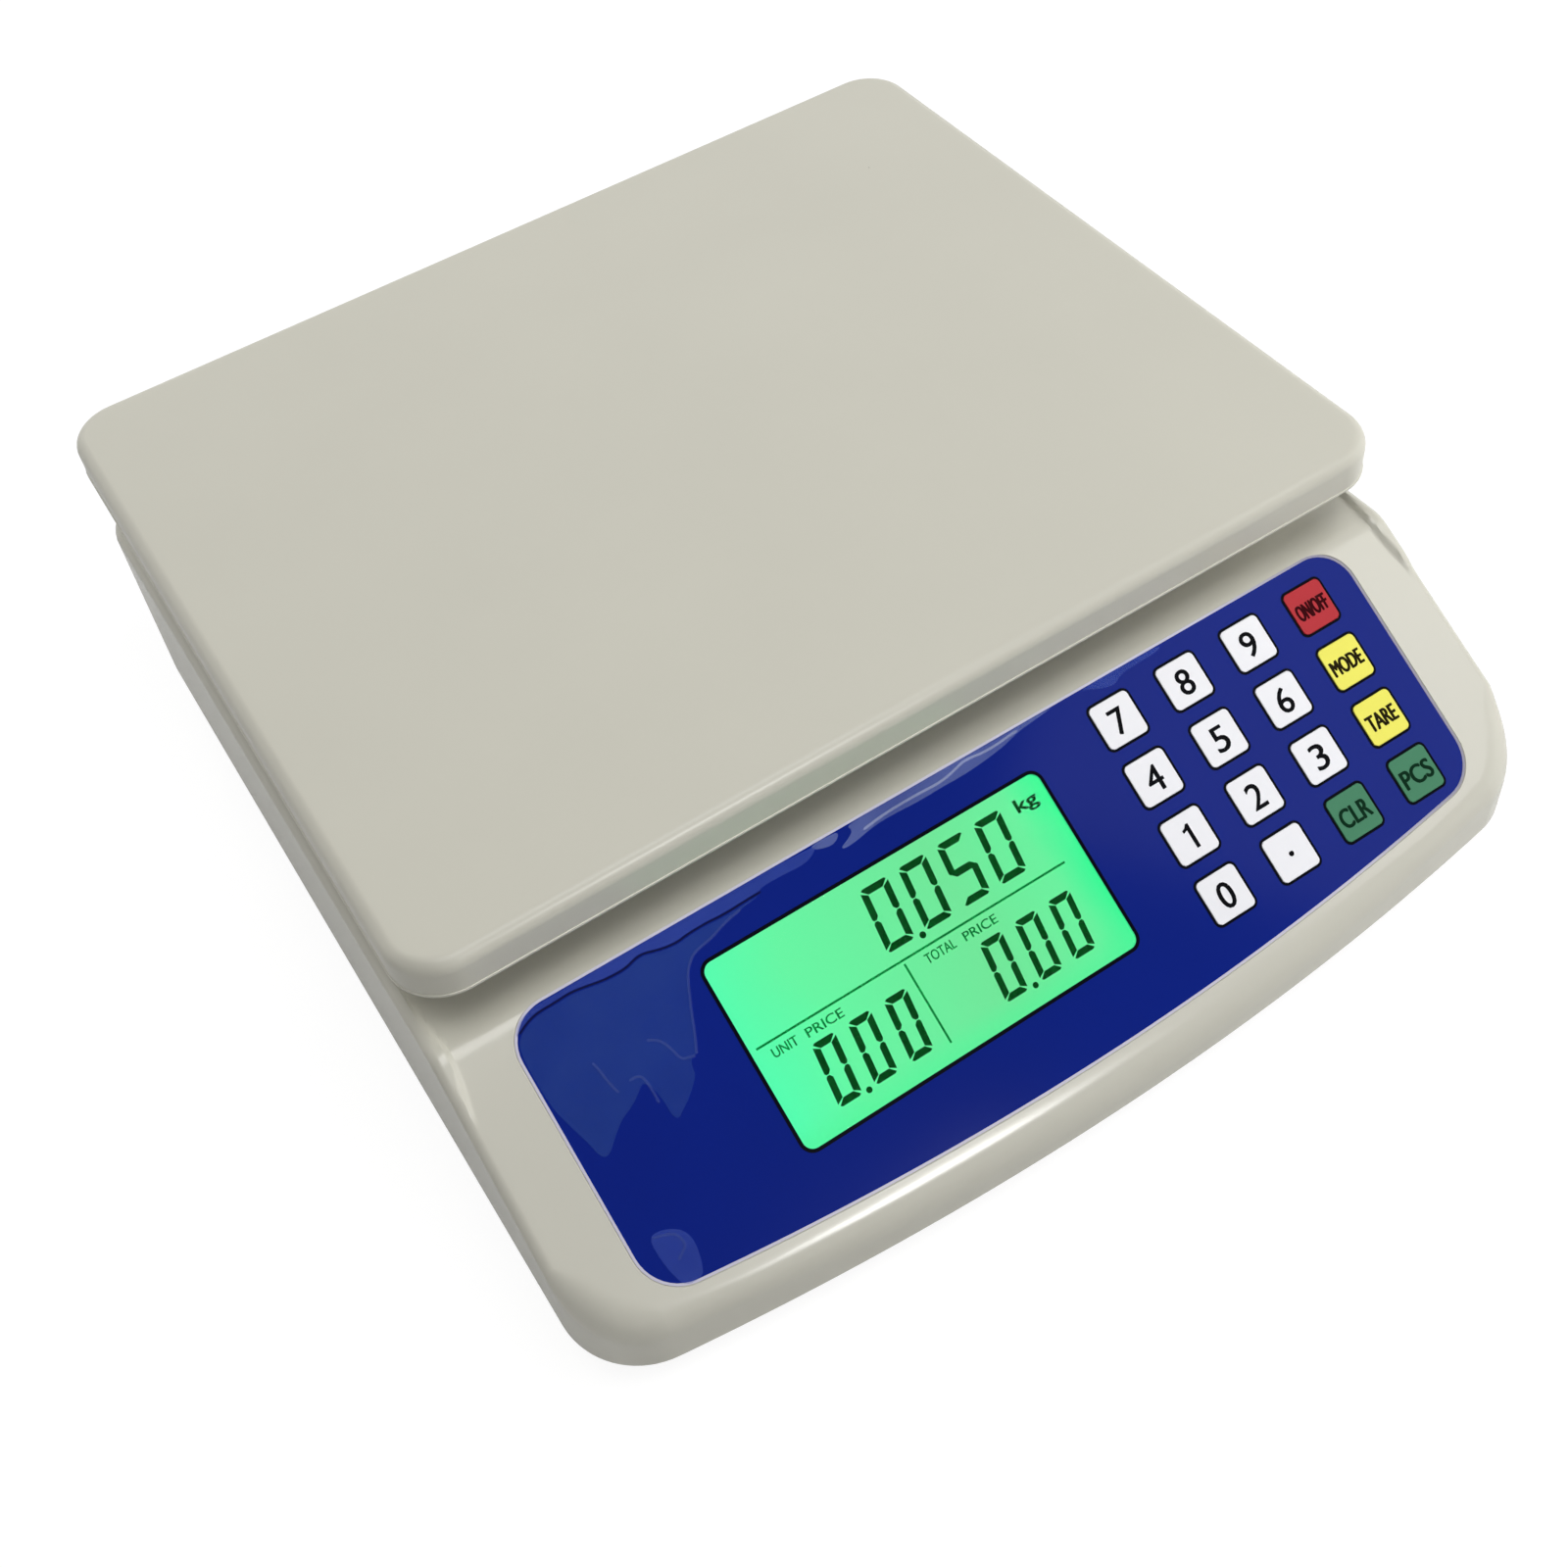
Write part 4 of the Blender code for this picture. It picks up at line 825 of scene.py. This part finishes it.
def middle_of(box):
    """Middle of a box given as its lowest and highest corners."""
    return [(low + high) / 2 for low, high in zip(*box)]


def rounded(box, grow, radius, steps=8):
    """Outline of a box, grown on every side, with round corners."""
    (left, low), (right, high) = [[value + grow * sign for value in corner[:2]]
                                  for corner, sign in zip(box, (-1, 1))]
    quarters = [(right - radius, low + radius, -0.5), (right - radius, high - radius, 0.0),
                (left + radius, high - radius, 0.5), (left + radius, low + radius, 1.0)]
    return [point for x, y, turn in quarters
            for point in arc((x, y), radius, turn * math.pi, (turn + 0.5) * math.pi, steps)]


def square(x, y, reach, radius, steps=5):
    return rounded(((x, y), (x, y)), reach, radius, steps)


def prisms(outlines, low, high):
    """Closed solids of (x, y) outlines between two heights, as a new bmesh."""
    bm = bmesh.new()
    for outline in outlines:
        prism(bm, outline, low, high)
    return bm


def cylinders(spots, radius, low, high, sides=32):
    """Upright cylinders at (x, y) spots, as a new bmesh."""
    return prisms([circle(x, y, radius, sides) for x, y in spots], low, high)


overlay_low, overlay_high = panel_box("graphic_overlay")
OVERLAY_BOW, OVERLAY_TOP_CORNER, OVERLAY_LOW_CORNER = 667.0 * MM, 8.0 * MM, 9.0 * MM


def overlay_outline(grow):
    """Outline of the overlay: straight top and sides, a bowed lower edge, round corners."""
    steps = 10                      # round each corner
    half, low, high = overlay_high.x + grow, overlay_low.y - grow, overlay_high.y + grow
    bow, below, above = OVERLAY_BOW + grow, OVERLAY_LOW_CORNER + grow, OVERLAY_TOP_CORNER + grow
    swing = math.asin((half - below) / (bow - below))
    corner = (half - below, low + bow - (bow - below) * math.cos(swing))
    points = arc((0.0, low + bow), bow, -math.pi / 2 - swing, swing - math.pi / 2, 40)[1:-1]
    points += arc(corner, below, swing - math.pi / 2, 0.0, steps)
    points += arc((half - above, high - above), above, 0.0, math.pi / 2, steps)
    points += arc((above - half, high - above), above, math.pi / 2, math.pi, steps)
    return points + arc((-corner[0], corner[1]), below, -math.pi, -math.pi / 2 - swing, steps)


ivory = skin("ivory_plastic", IVORY, 0.2, mottle=0.025, specks=0.5, smudge=0.08, grain=0.7 * MM,
             depth=0.003 * MM)
bm = bmesh.new()
outer_rims = casing_skin(bm, 0.0, 0.0, 12, (0.5, 1.0, 1.5, 2.0, 2.6, 3.2, 4.0, 5.5, 8.0), 0.0)
inner_rims = casing_skin(bm, WALL, WALL, 5, (2.0, 6.0), WALL)
for outer, inner in zip(outer_rims, inner_rims):
    for i in range(len(outer) - 1):
        bm.faces.new((outer[i], outer[i + 1], inner[i + 1], inner[i]))
bmesh.ops.remove_doubles(bm, verts=bm.verts, dist=0.001 * MM)
casing = new_piece("upper_casing_moulding", bm, ivory)

window_box = window_low, window_high = panel_box("display_window")
key_names = [name for name in frame["bodies"] if name.startswith("key_")]
key_boxes = {name: panel_box(name) for name in key_names}
key_spots = [middle_of(box)[:2] for box in key_boxes.values()]
KEY_SIZE = 9.2 * MM


def panel_openings(window, key, low, high):
    """Solids for the window's and the keys' openings, each with (clearance, corner radius, ...)."""
    holes = [square(x, y, KEY_SIZE / 2 + key[0], *key[1:]) for x, y in key_spots]
    return prisms([rounded(window_box, *window), *holes], low, high)


bm = bmesh.new()
outline_stack(bm, [(overlay_outline(grow * MM), z * MM)
                   for grow, z in ((0.25, -1.0), (0.25, -0.25), (0.45, -0.05), (0.8, 0.5))])
carve(casing, "DIFFERENCE", bm, panel)
carve(casing, "DIFFERENCE",
      panel_openings((1.4 * MM, 1.0 * MM), (0.3 * MM, 1.2 * MM, 4), -5 * MM, 1 * MM), panel)
POST_HOLE = 8.2 * MM
pad_boxes = [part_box(node) for node in numbered("platform_pad", 4)]
pad_spots = [middle_of(box)[:2] for box in pad_boxes]
carve(casing, "DIFFERENCE", cylinders(pad_spots, POST_HOLE, deck_z - 6 * MM, deck_z + 2 * MM, 48))

CASE_BOSS, CASE_BORE = 4.0 * MM, 1.7 * MM
case_spots = [middle_of(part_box(node))[:2] for node in numbered("case_screw", 6)]
bm = bmesh.new()
for x, y in case_spots:
    top = top_height(y - CASE_BOSS, WALL * 0.4)[0]
    prism(bm, circle(x, y, CASE_BOSS, 32), skirt_z + 0.3 * MM, top)
carve(casing, "UNION", bm)
carve(casing, "DIFFERENCE", cylinders(case_spots, CASE_BORE, skirt_z - 1 * MM, skirt_z + 12 * MM, 20))
BOARD_BOSS, BOARD_BORE = 2.3 * MM, 1.4 * MM
board_top = panel_box("main_board")[1].z
board_spots = [middle_of(panel_box(node))[:2] for node in numbered("board_screw", 6)]
carve(casing, "UNION", cylinders(board_spots, BOARD_BOSS, board_top + 0.3 * MM, -WALL * 0.6, 20), panel)
carve(casing, "DIFFERENCE",
      cylinders(board_spots, BOARD_BORE, board_top - 1 * MM, -WALL + 0.2 * MM, 16), panel)
SOCKET_HOLE = 4.1 * MM
socket_x, _, socket_z = middle_of(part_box("power_socket"))
carve(casing, "DIFFERENCE", cylinders([(0.0, 0.0)], SOCKET_HOLE, -6 * MM, 6 * MM),
      Matrix.Translation((socket_x, back_y, socket_z)) @ Matrix.Rotation(math.pi / 2, 4, "X"))
soften(casing, 32)
place_piece(casing, HOUSING, ["upper_casing"])

# ---------------------------------------------------------------- Graphic overlay
# A navy film printed on its back and stuck in the recess of the panel. Its cut edge shows as a pale
# line, partly its own colour and partly a painted highlight, and black frames are printed round the
# window and round every key.
overlay_top = overlay_high.z
FILM_INSET = 0.25 * MM
film = skin("navy_film", (3, 31, 131), 0.12, mottle=0.10, smudge=0.06, grain=2.5 * MM,
            depth=0.004 * MM, shine=0.06)
frame_ink = skin("frame_ink", (3, 5, 16), 0.25, mottle=0.05, shine=0.02)


def cut_edge_painted_light():
    """The film's cut edge: pale lavender, partly a painted highlight, and greyer towards the right as
    painted shade.
    """
    made = skin("film_edge_painted_light", (206, 203, 222), 0.3, mottle=0.06, grain=0.3 * MM, shine=0.2)
    tree = made.node_tree
    parts = add_node(tree, "ShaderNodeSeparateXYZ", {0: object_place(tree)}).outputs
    # painted shade: the edge turns greyer towards the right end
    share = remap(tree, parts["X"], (60 * MM, 92 * MM), (0.0, 1.0))
    colour = tree.nodes["Principled BSDF"].inputs["Base Color"]
    tree.links.new(mix(tree, share, colour.links[0].from_socket, linear(150, 147, 168)), colour)
    return made


overlay = new_piece("graphic_overlay_film",
                    prisms([overlay_outline(-FILM_INSET)], overlay_low.z, overlay_top), film)
carve(overlay, "DIFFERENCE", panel_openings((0.3 * MM, 2.3 * MM), (0.3 * MM, 1.4 * MM), -3 * MM, 2 * MM))
settle(overlay, ["graphic_overlay"], crisp=30)


def ring(outer, inner, low, high):
    """A closed flat ring between two outlines with as many points, as a new bmesh."""
    bm = bmesh.new()
    loops = [[bm.verts.new((x, y, z)) for x, y in outline]
             for outline, z in ((outer, low), (outer, high), (inner, high), (inner, low))]
    for first, second in zip(loops, loops[1:] + loops[:1]):
        for i in range(len(first)):
            bm.faces.new((first[i - 1], first[i], second[i], second[i - 1]))
    return bm


bm = ring(overlay_outline(0.24 * MM), overlay_outline(-FILM_INSET + 0.01 * MM), overlay_low.z,
          overlay_top + 0.04 * MM)
settle(new_piece("overlay_cut_edge", bm, cut_edge_painted_light()))

PRINT_THICK = 0.02 * MM
FRAME_START = 0.06 * MM             # from the key or the pane to the black frame
KEY_FRAME_END, WINDOW_FRAME_END = 0.56 * MM, 0.78 * MM
bm = ring(square(0.0, 0.0, KEY_SIZE / 2 + KEY_FRAME_END, 1.6 * MM),
          square(0.0, 0.0, KEY_SIZE / 2 + FRAME_START, 1.1 * MM), 0.0, PRINT_THICK)
set_out("printed_key_frames", new_piece("key_frame_pattern", bm),
        [panel @ Vector((x, y, overlay_top)) for x, y in key_spots], (tilt, 0.0, 0.0), [], HOUSING,
        finish=frame_ink, free_turn=0.0)
bm = ring(*[rounded(window_box, reach, 2.0 * MM + reach) for reach in (WINDOW_FRAME_END, FRAME_START)],
          overlay_top, overlay_top + PRINT_THICK)
settle(new_piece("printed_window_frame", bm, frame_ink))

# ---------------------------------------------------------------- Protective film
# The clear film that covers a new panel was never peeled off. Air under it shows as paler patches
# and bubbles near the edges, their paleness a painted reflection, and its loose upper edge as one
# dark wavy line. Pale lines along its creases and its top bubble are painted highlights.
def clear_patch(name, colour, alpha):
    """Pale clear film over air, its paleness a painted reflection: thin, glossy, a little cloudy; alpha is
    that of one face.
    """
    made = skin(name, colour, 0.2, mottle=0.2, grain=2.0 * MM, depth=0.02 * MM, shine=0.06)
    tree = made.node_tree
    cloud = noise(tree, object_place(tree), 90.0, 2.0)
    feed(tree, tree.nodes["Principled BSDF"].inputs,
         {"Alpha": remap(tree, cloud, (0.3, 0.7), (alpha * 0.8, alpha * 1.2))})
    return made


def softened(points, closed=True):
    """The same line with its corners cut away, and cut away again."""
    points = [Vector(point) for point in points]
    for _ in range(2):
        ends = points[1:] + points[:1] if closed else points[1:]
        cut = [start.lerp(end, share) for start, end in zip(points, ends) for share in (0.25, 0.75)]
        points = cut if closed else [points[0], *cut, points[-1]]
    return points


def banks_of(points, width):
    """Outline of a soft line with pointed ends through (across, down) points."""
    middle = softened(points, closed=False)
    banks = ([], [])
    for i, point in enumerate(middle[1:-1], 1):
        side = (middle[i + 1] - middle[i - 1]).normalized().orthogonal() * (width / 2)
        for bank, sign in zip(banks, (1, -1)):
            bank.append(point + side * sign)
    return [middle[0], *banks[0], middle[-1], *banks[1][::-1]]


# outlines and lines in mm, across the panel and down it
WAVE = [(-93.7, 3.4), (-91.8, 2.4), (-89.4, 1.7), (-86.0, 1.7), (-82.5, 1.5), (-79.4, 2.0),
        (-76.9, 2.5), (-74.3, 2.7), (-71.9, 2.7), (-69.4, 2.0), (-68.0, 2.0), (-65.9, 2.6),
        (-63.8, 3.1), (-61.4, 3.3), (-59.6, 3.0), (-55.6, 2.9), (-51.8, 3.2), (-46.5, 3.0),
        (-43.7, 3.0)]
PATCH_RIGHT = [(-43.9, 3.4), (-48.6, 3.9), (-52.6, 4.6), (-56.1, 5.8), (-59.6, 6.3), (-61.1, 7.2),
               (-62.4, 8.5), (-63.5, 10.3), (-64.6, 12.8), (-65.7, 15.2), (-66.8, 18.0), (-67.8, 20.2),
               (-68.7, 22.1), (-69.8, 22.1), (-70.5, 23.4), (-70.6, 25.0), (-71.9, 26.3),
               (-73.7, 27.9), (-76.0, 29.4), (-77.2, 30.1)]
PATCH_LEFT = [(-77.9, 28.9), (-77.8, 26.2), (-78.5, 22.6), (-79.7, 21.5), (-81.1, 22.8), (-83.4, 24.2),
              (-85.6, 25.0), (-88.2, 27.0), (-90.6, 29.3), (-92.1, 28.8), (-92.7, 25.7),
              (-93.8, 22.2), (-94.7, 18.9), (-95.2, 15.6), (-95.3, 10.7), (-95.0, 5.5)]
# painted reflection: these pale colours stand in for the light that the air gaps reflect
air_gap = clear_patch("air_gap_painted_sheen", (58, 92, 184), 0.2)
strip_gap = clear_patch("edge_gap_painted_sheen", (70, 96, 204), 0.27)
bubble = clear_patch("bubble_painted_sheen", (124, 142, 214), 0.28)
# painted highlight for the bright lines along the top bubble
glint = clear_patch("glint_in_film", (186, 196, 238), 0.34)
# painted highlight for the pale lines along the film's creases
crease_highlight_finish = clear_patch("painted_crease_highlight", (84, 104, 188), 0.2)
film_fold = skin("film_fold", (4, 10, 58), 0.25, mottle=0.1, shine=0.04)
patches = [
    ("film_patch_upper_left", air_gap, [(x, v + 0.4) for x, v in WAVE[:-1]] + PATCH_RIGHT + PATCH_LEFT),
    ("film_strip_top", strip_gap,
     [(-94.6, 3.8), (-93.2, 1.9), (-91.5, 0.9), (-88.0, 0.3), (-60.0, 0.3), (-30.9, 0.35), (-30.9, 1.5),
      (-33.7, 2.7), (-38.4, 2.4), (-43.1, 2.3)] + [(x, v - 0.25) for x, v in WAVE[::-1]]),
    ("film_patch_lower_left", strip_gap,
     [(-91.6, 45.0), (-90.7, 44.5), (-88.2, 45.1), (-86.2, 46.6), (-85.3, 48.6), (-85.6, 51.5),
      (-86.5, 54.3), (-87.4, 55.2), (-90.5, 55.0), (-91.5, 51.9), (-91.9, 49.0), (-92.0, 46.1)]),
    ("film_bubble_top", bubble,
     [(-23.5, 0.5), (-20.0, 0.3), (23.6, 0.3), (23.6, 0.6), (19.5, 0.9), (15.4, 1.3), (11.5, 2.3),
      (6.1, 2.9), (1.1, 3.2), (-3.7, 3.1), (-8.4, 3.2), (-11.3, 3.1), (-15.4, 2.9), (-18.9, 3.0),
      (-22.2, 3.6), (-25.8, 4.0), (-26.5, 3.4), (-24.2, 2.6), (-22.8, 1.6)]),
    ("film_bubble_small", bubble,
     [(-31.5, 0.4), (-28.5, 0.3), (-25.4, 0.5), (-26.0, 1.6), (-27.5, 2.2), (-29.5, 1.9),
      (-30.9, 1.3)]),
    ("film_bubble_right", strip_gap,
     [(31.0, 0.4), (34.0, 0.3), (50.4, 0.3), (50.4, 1.2), (45.7, 1.4), (41.7, 1.4), (39.6, 1.9),
      (37.9, 2.8), (35.4, 2.2), (32.8, 1.1)]),
]
creases = [
    ("film_wavy_edge", film_fold, 0.34, [WAVE]),
    ("film_glints", glint, 0.5,
     [[(-21.0, 2.6), (-16.0, 2.0), (-9.0, 1.9), (-3.0, 2.2), (1.3, 1.3), (3.2, 0.8), (8.2, 1.5),
       (15.6, 0.9)]]),
    # painted highlights along creases and along the upper patch's right edge
    ("film_creases", crease_highlight_finish, 0.5,
     [[(-75.2, 15.5), (-73.9, 16.1), (-72.8, 17.2), (-72.1, 19.0), (-71.5, 21.5), (-70.3, 21.8),
       (-69.0, 22.2)],
      [(-85.3, 14.0), (-84.9, 15.6), (-84.6, 18.1), (-83.9, 20.9)],
      [(-81.3, 20.0), (-79.6, 20.0), (-78.8, 21.0), (-78.6, 23.7), (-78.7, 26.0)],
      [(-91.4, 45.1), (-89.3, 45.7), (-87.6, 46.5), (-87.0, 47.9), (-87.0, 49.2), (-88.2, 49.9),
       (-89.3, 50.6)], PATCH_RIGHT[1:13]]),
]


def film_layer(name, finish, outlines, height, thick):
    """One piece of thin clear film from (across, down) outlines, given in mm."""
    low = overlay_top + height
    bm = prisms([[(x * MM, -v * MM) for x, v in outline] for outline in outlines], low, low + thick)
    bm.normal_update()
    bmesh.ops.triangulate(bm, faces=bm.faces, ngon_method="EAR_CLIP")
    settle(new_piece(name, bm, finish))


for name, finish, points in patches:
    film_layer(name, finish, [softened(points)], 0.03 * MM, 0.015 * MM)
for name, finish, width, lines in creases:
    film_layer(name, finish, [banks_of(points, width) for points in lines], 0.06 * MM, 0.02 * MM)

# ---------------------------------------------------------------- Display window
# A clear pane set flush in the overlay in front of the display, cut from glossy sheet with its
# edges just broken.
clear, tree, shader = new_material("clear_pane")
ripple = noise(tree, object_place(tree), 40.0, 1.0)
bump = add_node(tree, "ShaderNodeBump", {"Strength": 0.3, "Distance": 0.004 * MM, "Height": ripple})
feed(tree, shader, {"Transmission Weight": 1.0, "Roughness": 0.02, "IOR": 1.09,
                    "Base Color": (0.97, 1.0, 0.98, 1.0), "Normal": bump.outputs[0]})
bm = bmesh.new()
BROKEN = 0.12 * MM
small, full = [rounded(window_box, -inset, 2.0 * MM - inset) for inset in (BROKEN, 0.0)]
outline_stack(bm, [(small, window_low.z), (full, window_low.z + BROKEN), (full, window_high.z - BROKEN),
                   (small, window_high.z)])
settle(new_piece("display_window_pane", bm, clear), ["display_window"], crisp=50)

# ---------------------------------------------------------------- Keys
# Sixteen square keys that look like printed zones of the film. A wider foot keeps each one under
# the panel, and it gives way by less than half a millimetre. The legends are printed on top.
KEY_CORNER = 1.05 * MM
FLANGE_THICK = 0.6 * MM             # of the wider foot that keeps a key under the panel
LEGEND_DROP = 0.2 * MM              # below the key's middle
key_finishes, legend_inks = {}, {}
for slot, colour, mottle, shine, legend, ink_colour in [
        ("key_white", (250, 250, 254), 0.02, 0.15, "black_legend", (8, 8, 12)),
        ("key_red", (188, 48, 56), 0.05, 0.08, "maroon_legend", (56, 4, 10)),
        ("key_yellow", (250, 244, 104), 0.03, 0.1, "dark_legend", (34, 28, 6)),
        ("key_green", (70, 134, 100), 0.05, 0.08, "green_legend", (8, 44, 26))]:
    key_finishes[slot] = skin(slot.removeprefix("key_") + "_key_film", colour, 0.16, mottle=mottle,
                              smudge=0.05, grain=1.5 * MM, shine=shine)
    legend_inks[slot] = skin(legend, ink_colour, 0.3, shine=0.02)
# words, width and height in mm, and finish
WORDS = {"key_on_off": ("ON/OFF", 7.4, 3.3, "key_red"), "key_mode": ("MODE", 7.4, 3.2, "key_yellow"),
         "key_tare": ("TARE", 7.0, 3.3, "key_yellow"), "key_clear": ("CLR", 7.0, 3.9, "key_green"),
         "key_pieces": ("PCS", 7.2, 3.8, "key_green"), "key_point": (".", 0.8, 0.9, "key_white")}
DIGIT_WIDTHS = {"4": 3.4, "7": 3.1}
BOLDER_WORD, BOLDER_DIGIT = 0.17 * MM, 0.1 * MM
ONE = [(0.05, -2.55), (0.9, -2.55), (0.9, 2.55), (0.3, 2.55), (-0.15, 2.0), (-0.9, 1.65), (-0.9, 1.05),
       (0.05, 1.35)]
for name, (x, y) in zip(key_names, key_spots):
    low, high = key_boxes[name]
    reach, flange = KEY_SIZE / 2, high.x - x
    profile = [(flange, low.z), (flange, low.z + FLANGE_THICK), (reach, low.z + FLANGE_THICK),
               (reach, high.z - 0.1 * MM), (reach - 0.03 * MM, high.z - 0.04 * MM),
               (reach - 0.1 * MM, high.z)]
    bm = bmesh.new()
    outline_stack(bm, [(square(x, y, half, half - reach + KEY_CORNER), z) for half, z in profile])
    digit = name[-1]
    words, wide, tall, slot = WORDS.get(name, (digit, DIGIT_WIDTHS.get(digit, 3.2), 5.2, "key_white"))
    if words == "1":
        outline = [(x + a * MM, y + b * MM - LEGEND_DROP) for a, b in ONE]
        prism(bm, outline, high.z, high.z + PRINT_THICK, 1)
    else:
        bolder = BOLDER_WORD if name in WORDS else BOLDER_DIGIT
        bold_lettering(bm, words, (x, y - LEGEND_DROP), (wide * MM, tall * MM), high.z, PRINT_THICK,
                       bolder, 1)
    key = new_piece(name + "_cap", bm, key_finishes[slot], legend_inks[slot])
    settle(key, [name], name, 40)

# ---------------------------------------------------------------- Platform support
# A cast frame bolted to the live end of the load cell. Its four posts come up through the deck
# and carry the platform on rubber pads.
cast = skin("cast_metal", (172, 172, 169), 0.5, mottle=0.08, smudge=0.2, grain=0.5 * MM, depth=0.02 * MM,
            metallic=1.0)
edged_copy("platform_support", cast, 0.4 * MM, "weigh_support")

# ---------------------------------------------------------------- Weighing platform
# A shallow upside-down tray in the same ivory plastic. It has a softly rounded top edge, a fine
# bead round its lower rim, stiffening ribs beneath, and four sockets that drop over the posts.
platform_box = platform_low, platform_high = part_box("platform")
PLATFORM_CORNER = 11.0 * MM
PLATE = 2.5 * MM
TOP_ROUND = 2.8 * MM
BEAD = 0.7 * MM                     # height of the bead
BEAD_PROUD = 0.22 * MM
rim_z, top_z = platform_low.z, platform_high.z
under_z = top_z - PLATE
side = BEAD_PROUD + 0.15 * MM
profile = [(PLATE + 1.0 * MM, under_z), (PLATE + 0.3 * MM, under_z - 0.3 * MM), (PLATE, under_z - 1.0 * MM),
           (PLATE, rim_z + 0.2 * MM), (PLATE - 0.2 * MM, rim_z), (0.3 * MM, rim_z),
           (0.09 * MM, rim_z + 0.06 * MM), (0.0, rim_z + 0.2 * MM), (0.0, rim_z + BEAD - 0.2 * MM),
           (0.06 * MM, rim_z + BEAD - 0.06 * MM), (BEAD_PROUD, rim_z + BEAD),
           (BEAD_PROUD + 0.1 * MM, (rim_z + top_z) / 2)]
for step in range(11):
    turn = math.pi / 2 * step / 10
    profile.append((side + TOP_ROUND * (1 - math.cos(turn)), top_z - TOP_ROUND * (1 - math.sin(turn))))
profile += [(side + TOP_ROUND + reach * MM, top_z) for reach in (0.8, 3.0)]
platform_plastic = skin("platform_plastic", IVORY, 0.31, mottle=0.03, specks=0.7, smudge=0.03,
                        grain=0.7 * MM, depth=0.003 * MM, shine=0.35)
bm = bmesh.new()
outline_stack(bm, [(rounded(platform_box, -inset, PLATFORM_CORNER - inset, 12), z) for inset, z in profile])
tray = new_piece("platform_tray", bm, platform_plastic)
RIB = 0.8 * MM                      # half of a rib's thickness
RIB_Y, RIB_X = 22 * MM, 40 * MM     # of the ribs, from the middle
COLLAR, SOCKET_PLAY = 2.6 * MM, 0.5 * MM      # round a post's pad
middle_y = middle_of(platform_box)[1]
reach = platform_high.x - PLATE / 2
near, far = platform_low.y + PLATE / 2, platform_high.y - PLATE / 2
wide_ribs = [rectangle(-reach, y - RIB, reach, y + RIB) for y in (middle_y - RIB_Y, middle_y + RIB_Y)]
deep_ribs = [rectangle(x - RIB, near, x + RIB, far) for x in (-RIB_X, RIB_X)]
carve(tray, "UNION", prisms(wide_ribs, under_z - 4.0 * MM, under_z + 1.0 * MM))
carve(tray, "UNION", prisms(deep_ribs, under_z - 3.8 * MM, under_z + 0.8 * MM))
pad_radius = (pad_boxes[0][1].x - pad_boxes[0][0].x) / 2
carve(tray, "UNION",
      cylinders(pad_spots, pad_radius + COLLAR, under_z - 5.4 * MM, under_z + 1 * MM, 40))
carve(tray, "DIFFERENCE", cylinders(pad_spots, pad_radius + SOCKET_PLAY, under_z - 7 * MM, under_z, 40))
soften(tray, 35)
place_piece(tray, "platform", ["platform"])
